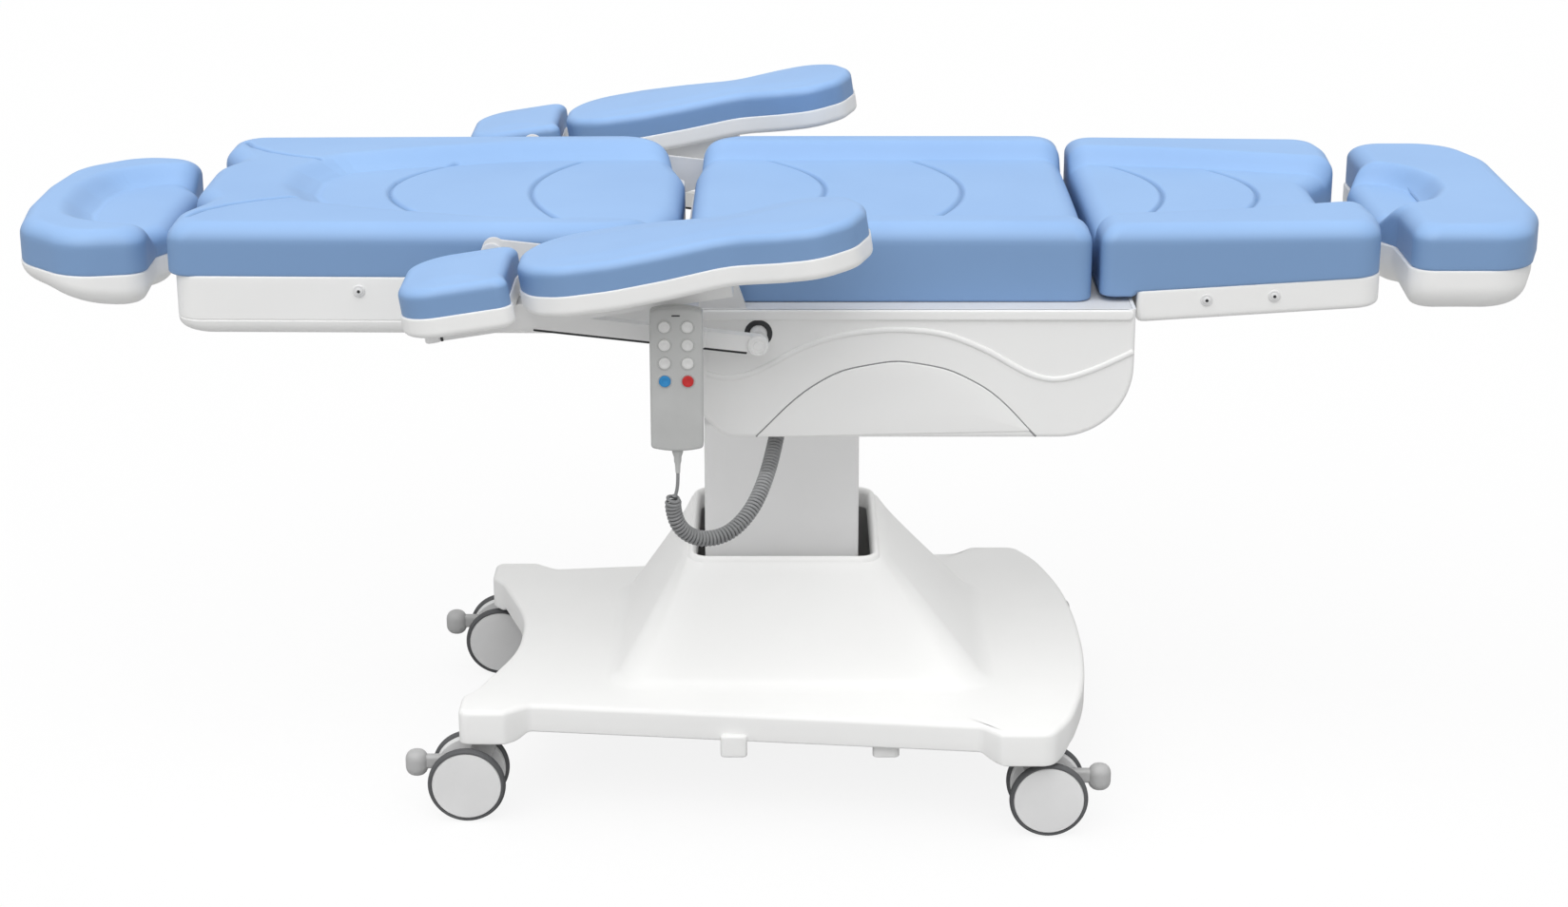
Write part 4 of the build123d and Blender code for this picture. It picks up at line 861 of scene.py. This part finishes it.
# local x along the plane, y across, z up from the plane, turned into the table's frame
def toArmPlane(skin):
    points, faces = skin
    u, v, h = points[:, 0] / cos(tilt), points[:, 1], points[:, 2]
    place = np.column_stack([u * cos(tilt) - h * sin(tilt), v,
                             armrest["height"] + u * sin(tilt) + h * cos(tilt)])
    return outwards(place, faces)


longPad = {"outline": ([(-299, -24), (-284, -60), (-250, -84), (-190, -90), (-130, -80), (-58, -58),
                        (0, -80), (46, -90), (88, -62), (105, -16)],
                       [50, 60, 60, 90, 120, 60, 60, 50, 44, 44]), "middle": -110, "centre": 405}
shortPad = {"outline": ([(-434, -83), (-301, -83), (-310, -46)], [46, 18, 60]), "middle": -364,
            "centre": 413}


# highest in the middle, falling a little towards the rim
def armTop(corners, radii):
    line = roundedOutline(corners, radii, 60)
    return lambda place: -0.4 - 2.6 * smoothStep(-50, -10, distanceTo(place, line, True))


# a pad of the given outline, round over its rim, laid on the armrest's plane
def armPadSkin(spec, side):
    corners, radii = bothSides(*spec["outline"])
    shape = {"middle": spec["middle"], "bottom": 0.2 - armrest["padDepth"], "lowIn": 2, "lowUp": 2,
             "upIn": 13, "upDown": 12, "upSteps": 14, "rings": 30}
    points, faces = moulded(corners, radii, 3.6, shape, armTop(corners, radii))
    return mirrored(toArmPlane((points + (0, spec["centre"], 0), faces)), side)


# the tray under a pad, a little wider than it, with a narrower foot
def armShellSkin(spec, side):
    corners, radii = turnedRight(*bothSides(*spec["outline"]))
    shape = {"middle": spec["middle"], "bottom": -armrest["shellDepth"], "lowIn": 8, "lowUp": 8,
             "upIn": 1.5, "upDown": 1.5, "upSteps": 5, "rings": 4}
    points, faces = moulded(insetCorners(corners, -1.6), radii, 4.0, shape,
                            flatTop(1.3 - armrest["shellTop"]))
    return mirrored(toArmPlane((points + (0, spec["centre"], 0), faces)), side)


# the bar under the pads has a plate at its head end, set off by a dark box as painted shade in the
# gap, and screws along its side
def armFittings(side):
    plate = toArmPlane(softBox(*armrest["endPlate"], 4, 3, 1.5))
    gap = toArmPlane(softBox(*armrest["endGap"], 1, 0.6, 1.0))
    screws = [toArmPlane(turned(armrest["screw"], (x, 0, armrest["screwLevel"]), "y", 28))
              for x in armrest["screwsAt"]]
    return [mirrored(skin, side) for skin in (plate, gap, joined(*screws))]


for sideName, side in (("near", -1), ("far", 1)):
    body = "arm_" + sideName
    piece = newPiece("armPads_" + sideName,
                     joined(armPadSkin(longPad, side), armPadSkin(shortPad, side)), body,
                     "padFabric", ["arm_pads_" + sideName], 60)
    newPiece("armShells_" + sideName,
             joined(armShellSkin(longPad, side), armShellSkin(shortPad, side)), body,
             "shellPlastic", ["arm_shells_" + sideName])
    plate, gap, screws = armFittings(side)
    newPiece("armEndPlate_" + sideName, plate, body, "linkPaint")
    # painted shade: the dark box in the gap behind the end plate
    newPiece("armEndGapShade_" + sideName, gap, body, "darkPaintAndShade")
    newPiece("armScrews_" + sideName, screws, body, "screwSteel")
print("armrests: pads and shells on both sides")

# the armrest links: a round cap on each pin, a dark strip below the bar as painted shadow, a dark
# block as painted shade in the gap, and a clevis where it takes its length
link = {"seatPin": (-19.0, 660.0), "armPin": (-294.0, 691.0),
        "cap": [(0.01, 349), (13, 349), (13, 353), (11.8, 355), (9.5, 355.6), (8.8, 354.4),
                (5.6, 354.4), (5.0, 355.2), (0.01, 355.2)],
        "strip": (-268, -12, 336, 348, -13.5, -10.2, 0.8),
        "gap": (-92, -84, 334, 351.2, -9, 9, 0.8),
        "clevis": (-84, -62, 333.5, 351.5, -11.5, 11.5, 3)}


# a rounded box given along the line between the pins, across the table and square to both
def alongLink(x0, x1, y0, y1, z0, z1, edge):
    (ax, az), (bx, bz) = link["seatPin"], link["armPin"]
    lean = atan((bz - az) / (bx - ax))
    points, faces = softBox((x0, y0, z0), (x1, y1, z1), edge, edge, 2.0)
    place = np.column_stack([ax + points[:, 0] * cos(lean) - points[:, 2] * sin(lean), points[:, 1],
                             az + points[:, 0] * sin(lean) + points[:, 2] * cos(lean)])
    return outwards(place, faces)


for sideName, side in (("near", -1), ("far", 1)):
    body = "link_" + sideName
    caps = [turnedAcross(link["cap"], (x, 0, z), side) for x,
            z in (link["seatPin"], link["armPin"])]
    newPiece("linkCaps_" + sideName, joined(*caps), body, "linkPaint")
    # painted shadow and shade: the dark strip under the bar and the dark block in the gap by the
    # clevis
    shades = [mirrored(alongLink(*link[part]), side) for part in ("strip", "gap")]
    newPiece("linkShade_" + sideName, joined(*shades), body, "darkPaintAndShade")
    newPiece("linkClevis_" + sideName, mirrored(alongLink(*link["clevis"]), side), body,
             "linkPaint")
print("links: caps, clevis and strip")


# casters: twin wheels with flat light caps on every face, a slim web between them and a brake pedal
# outside
caster = {"radius": 50.0, "height": 50.0, "inner": 15.5, "outer": 35.0, "cap": 45.0, "web": 7.0,
          "tread": 11.0, "knob": (52, 81, 14, 51, 86, 14, 12), "neck": (24, 60, 6.5, 61, 79, 4, 4)}
casterSpots = {"head_near": (-372, -244, -395), "head_far": (-372, 244, -395),
               "foot_near": (325, -288, 348), "foot_far": (325, 288, 348)}


# for each wheel of the pair a hollow tread, a disc on either face and the drum between them
def wheelSkins(wheelX, stemY):
    tyres, caps = [], []
    inner, outer, radius, edge = caster["inner"], caster["outer"], caster["radius"], caster["cap"]
    centre = (wheelX, stemY, caster["height"])
    for s in (-1, 1):
        back = outer - caster["tread"]
        tread = [(20, back + 2), (edge, back + 2), (edge, back + 0.4), (radius - 3.5, back),
                 (radius - 1, back + 1.2), (radius, back + 3), (radius, outer - 4.5),
                 (radius - 1.2, outer - 1.6), (radius - 3.0, outer), (edge, outer),
                 (edge, outer - 4), (20, outer - 4)]
        tyres.append(turned([(r, s * y) for r, y in tread], centre, "y", 96))
        for face, way in ((outer, 1), (inner, -1)):
            disc = [(0.01, face - 4 * way), (edge - 0.4, face - 4 * way),
                    (edge - 0.4, face - 1.3 * way), (edge - 1.4, face - 0.3 * way),
                    (edge - 5, face - 0.2 * way), (0.01, face - 0.2 * way)]
            caps.append(turned([(r, s * y) for r, y in disc], centre, "y", 96))
        drum = [(0.01, inner + 1), (edge - 1, inner + 1), (edge + 0.5, inner + 3),
                (edge + 0.5, back + 1.5), (0.01, back + 1.5)]
        caps.append(turned([(r, s * y) for r, y in drum], centre, "y", 96))
    return joined(*tyres), joined(*caps)


# the web runs from the wheels' middle up to the stem, drawn in the side view and given its
# thickness
def webSkin(stemX, stemY, wheelX):
    lean = 1 if wheelX > stemX else -1
    corners = [(wheelX - 15, 34), (wheelX + 15, 34), (stemX + 15 + lean * 4, 90), (stemX + 15, 101),
               (stemX - 15, 101), (stemX - 15 + lean * 4, 90)]
    spec = {"middle": (wheelX + stemX) / 2, "across": 70, "bottom": -caster["web"], "lowIn": 1.5,
            "lowUp": 1.5, "upIn": 1.5, "upDown": 1.5, "lowSteps": 4, "upSteps": 4, "rings": 4}
    points, faces = moulded(corners, [14, 14, 10, 6, 6, 10], 2.5, spec, flatTop(caster["web"]))
    plate = outwards(np.column_stack([points[:, 0], points[:, 2] + stemY, points[:, 1]]), faces)
    collar = turned([(0.01, 97), (13, 97), (14, 98), (14, 103.4), (0.01, 103.4)], (stemX, stemY, 0),
                    "z", 40)
    return joined(plate, collar)


# knob and neck reach out from the wheel: near and far end, half width, low, high, corner, edge
def pedalSkin(wheelX, stemY):
    side = 1 if wheelX > 0 else -1
    parts = []
    for near, far, half, low, high, corner, edge in (caster["knob"], caster["neck"]):
        x0, x1 = sorted((wheelX + side * near, wheelX + side * far))
        parts.append(softBox((x0, stemY - half, low), (x1, stemY + half, high), corner, edge, 2.0))
    return joined(*parts)


for place, (stemX, stemY, wheelX) in casterSpots.items():
    tyre, caps = wheelSkins(wheelX, stemY)
    newPiece("tyres_" + place, tyre, "wheels_" + place, "tyreRubber",
             ["caster_wheels_" + place])
    newPiece("wheelCaps_" + place, caps, "wheels_" + place, "capPlastic")
    newPiece("casterFork_" + place, webSkin(stemX, stemY, wheelX), "fork_" + place,
             "pedalPlastic", ["caster_fork_" + place])
    newPiece("pedals_" + place, pedalSkin(wheelX, stemY), "pedal_" + place,
             "pedalPlastic", ["caster_pedal_" + place])
print("casters: four made")


# handset
handset = {"low": (-145, -425, 551), "high": (-83, -401, 726), "topArch": 4.5, "footArch": 4.0,
           "seam": -412.0, "rows": (704, 682, 660, 638), "columns": (-127.5, -100.5),
           "slot": [(-119, 716.6), (-109, 716.6), (-109, 718.4), (-119, 718.4)],
           "slotFaces": (424.0, 425.15),
           "rim": [(7.1, -424.2), (8.9, -424.2), (8.9, -425.3), (8.2, -425.9), (7.1, -425.3)],
           "key": [(0.01, -423.5), (6.8, -423.5), (6.8, -426.6), (6.2, -427.3), (4.6, -427.5),
                   (3.4, -427.2), (2.4, -426.8), (0.01, -426.6)],
           "sleeveAt": (-114, -413, 0),
           "sleeve": [(0.01, 552), (6.6, 552), (6.6, 547), (5.4, 543), (4.6, 541), (4.3, 535),
                      (3.4, 532), (3.0, 526), (2.8, 521), (0.01, 521)]}


# outline in the side view with arched ends, then a slab whose front and back edges are rounded
def handsetSkin():
    (xa, ya, za), (xb, yb, zb) = handset["low"], handset["high"]
    across = np.linspace(-1, 1, 9)
    middleX, wide = (xa + xb) / 2, (xb - xa) / 2
    corners = [(middleX + wide * s, zb - handset["topArch"] * s * s) for s in across]
    corners += [(middleX + wide * s, za + handset["footArch"] * s * s) for s in across[::-1]]
    radii = ([9] + [40] * 7 + [9]) * 2
    spec = {"middle": middleX, "across": (za + zb) / 2, "spine": 30, "bottom": ya, "lowIn": 3.5,
            "lowUp": 3.5, "upIn": 3.5, "upDown": 3.5, "lowSteps": 7, "upSteps": 7, "rings": 5,
            "seam": handset["seam"]}
    points, faces = moulded(corners, radii, 2.5, spec, flatTop(yb))
    return outwards(np.column_stack([points[:, 0], points[:, 2], points[:, 1]]), faces)


newPiece("handsetCase", handsetSkin(), "seat", "handsetPlastic", ["handset_body"])
keySpots = [(x, 0, z) for z in handset["rows"] for x in handset["columns"]]
slot = onLongFace(handset["slot"], 0.8, -1, *handset["slotFaces"], 0.05, 1.0)
newPiece("handsetSlot", slot, "seat", "darkPaintAndShade")
newPiece("buttonRims", joined(*[turned(handset["rim"], spot, "y", 40) for spot in keySpots]),
         "seat", "handsetPlastic")
keyLooks = {7: ("button_blue", "buttonBlue"), 8: ("button_red", "buttonRed")}
for number, spot in enumerate(keySpots, 1):
    slotName, look = keyLooks.get(number, ("button_grey", "buttonWhite"))
    newPiece("keyTop_%d" % number, turned(handset["key"], spot, "y", 40), "key_%d" % number,
             look, ["button_%d" % number])
newPiece("handsetSleeve", turned(handset["sleeve"], handset["sleeveAt"], "z", 36), "seat",
         "handsetPlastic", ["handset_relief"])
print("handset: case, %d keys and sleeve" % len(keySpots))

# hand control lead: straight out of the sleeve, then a curly stretch back into the seat cover
lead = {"strand": 4.2, "coilOuter": 20.0, "pitch": 4.8, "around": 12, "perTurn": 20,
        "straight": 30.0, "opening": 8.0,
        "route": [(-114, -413, 521), (-114, -412, 506), (-117, -409.5, 491), (-122, -406, 478),
                  (-114, -399, 444), (-88, -386, 425), (-54, -370, 427), (-27, -343, 448),
                  (-11, -306, 474), (-1, -266, 498), (5, -233, 519.5)]}


# the smooth line of the route, read from a NURBS curve with no bevel
def routeLine(route):
    data = bpy.data.curves.new("leadRoute", "CURVE")
    data.dimensions = "3D"
    spline = data.splines.new("NURBS")
    spline.points.add(len(route) - 1)
    spline.points.foreach_set("co", np.column_stack([np.array(route), np.ones(len(route))]).ravel())
    spline.order_u, spline.use_endpoint_u, spline.resolution_u = 3, True, 24
    holder = bpy.data.objects.new("leadRoute", data)
    bpy.context.scene.collection.objects.link(holder)
    bpy.context.view_layer.update()
    mesh = bpy.data.meshes.new_from_object(holder)
    line = np.array([v.co[:] for v in mesh.vertices])
    bpy.data.objects.remove(holder)
    return line


# the coil's radius grows from nothing after the straight start and closes again at its end
def leadPath():
    line = routeLine(lead["route"])
    along = np.concatenate([[0], np.cumsum(np.linalg.norm(np.diff(line, axis=0), axis=1))])
    total = along[-1]
    count = int((total - lead["straight"]) / lead["pitch"] * lead["perTurn"])
    place = np.linspace(0, total, count)
    middle = np.stack([np.interp(place, along, line[:, k]) for k in range(3)], axis=1)
    for _ in range(30):
        middle[1:-1] = (middle[:-2] + 2 * middle[1:-1] + middle[2:]) / 4
    tangent = np.gradient(middle, axis=0)
    tangent /= np.linalg.norm(tangent, axis=1, keepdims=True)
    side = np.array((1.0, 0, 0))
    straight, opening = lead["straight"], lead["opening"]
    radius = ((lead["coilOuter"] - lead["strand"]) / 2 * smoothStep(straight, straight + opening,
                                                                    place)
              * smoothStep(total, total - opening, place))
    phase = 2 * pi * np.clip(place - straight, 0, None) / lead["pitch"]
    path = []
    for k in range(count):
        side = side - tangent[k] * side.dot(tangent[k])
        side = side / np.linalg.norm(side)
        other = np.cross(tangent[k], side)
        path.append(middle[k] + radius[k] * (np.cos(phase[k]) * side + np.sin(phase[k]) * other))
    return np.array(path)


leadLine = leadPath()
leadPiece = newPiece("handLead",
                     carried(leadLine, lead["strand"] / 2, lead["strand"] / 2, lead["around"]),
                     "seat", "cordRubberAndGrooveShade", ["cord_tail", "cord_coil"], 80)

# finishes of the CAD parts that stay as they are
slotFinish = {"white_shell": "coverPlastic", "upholstery": "coatedFabric",
              "column_paint": "columnPaint", "frame_steel": "framePaint", "link_steel": "linkPaint",
              "shaft_steel": "shaftMetal", "caster_dark": "tyreRubber",
              "caster_fork": "hoodPlastic", "pedal_grey": "pedalPlastic",
              "motor_black": "darkPaintAndShade", "handset_grey": "handsetPlastic",
              "button_grey": "buttonWhite", "button_blue": "buttonBlue", "button_red": "buttonRed",
              "cord_grey": "cordRubberAndGrooveShade"}
darkParts = ("base_frame", "leg_frame", "lift_outer_stage", "lift_inner_stage")
for part in frame["record"]["subparts"]:
    node = frame["nodes"][part["node"]]
    node.data.materials.clear()
    look = "darkPaintAndShade" if part["node"] in darkParts else slotFinish[part["material_slot"]]
    node.data.materials.append(finish[look])
print("CAD parts: finishes set")
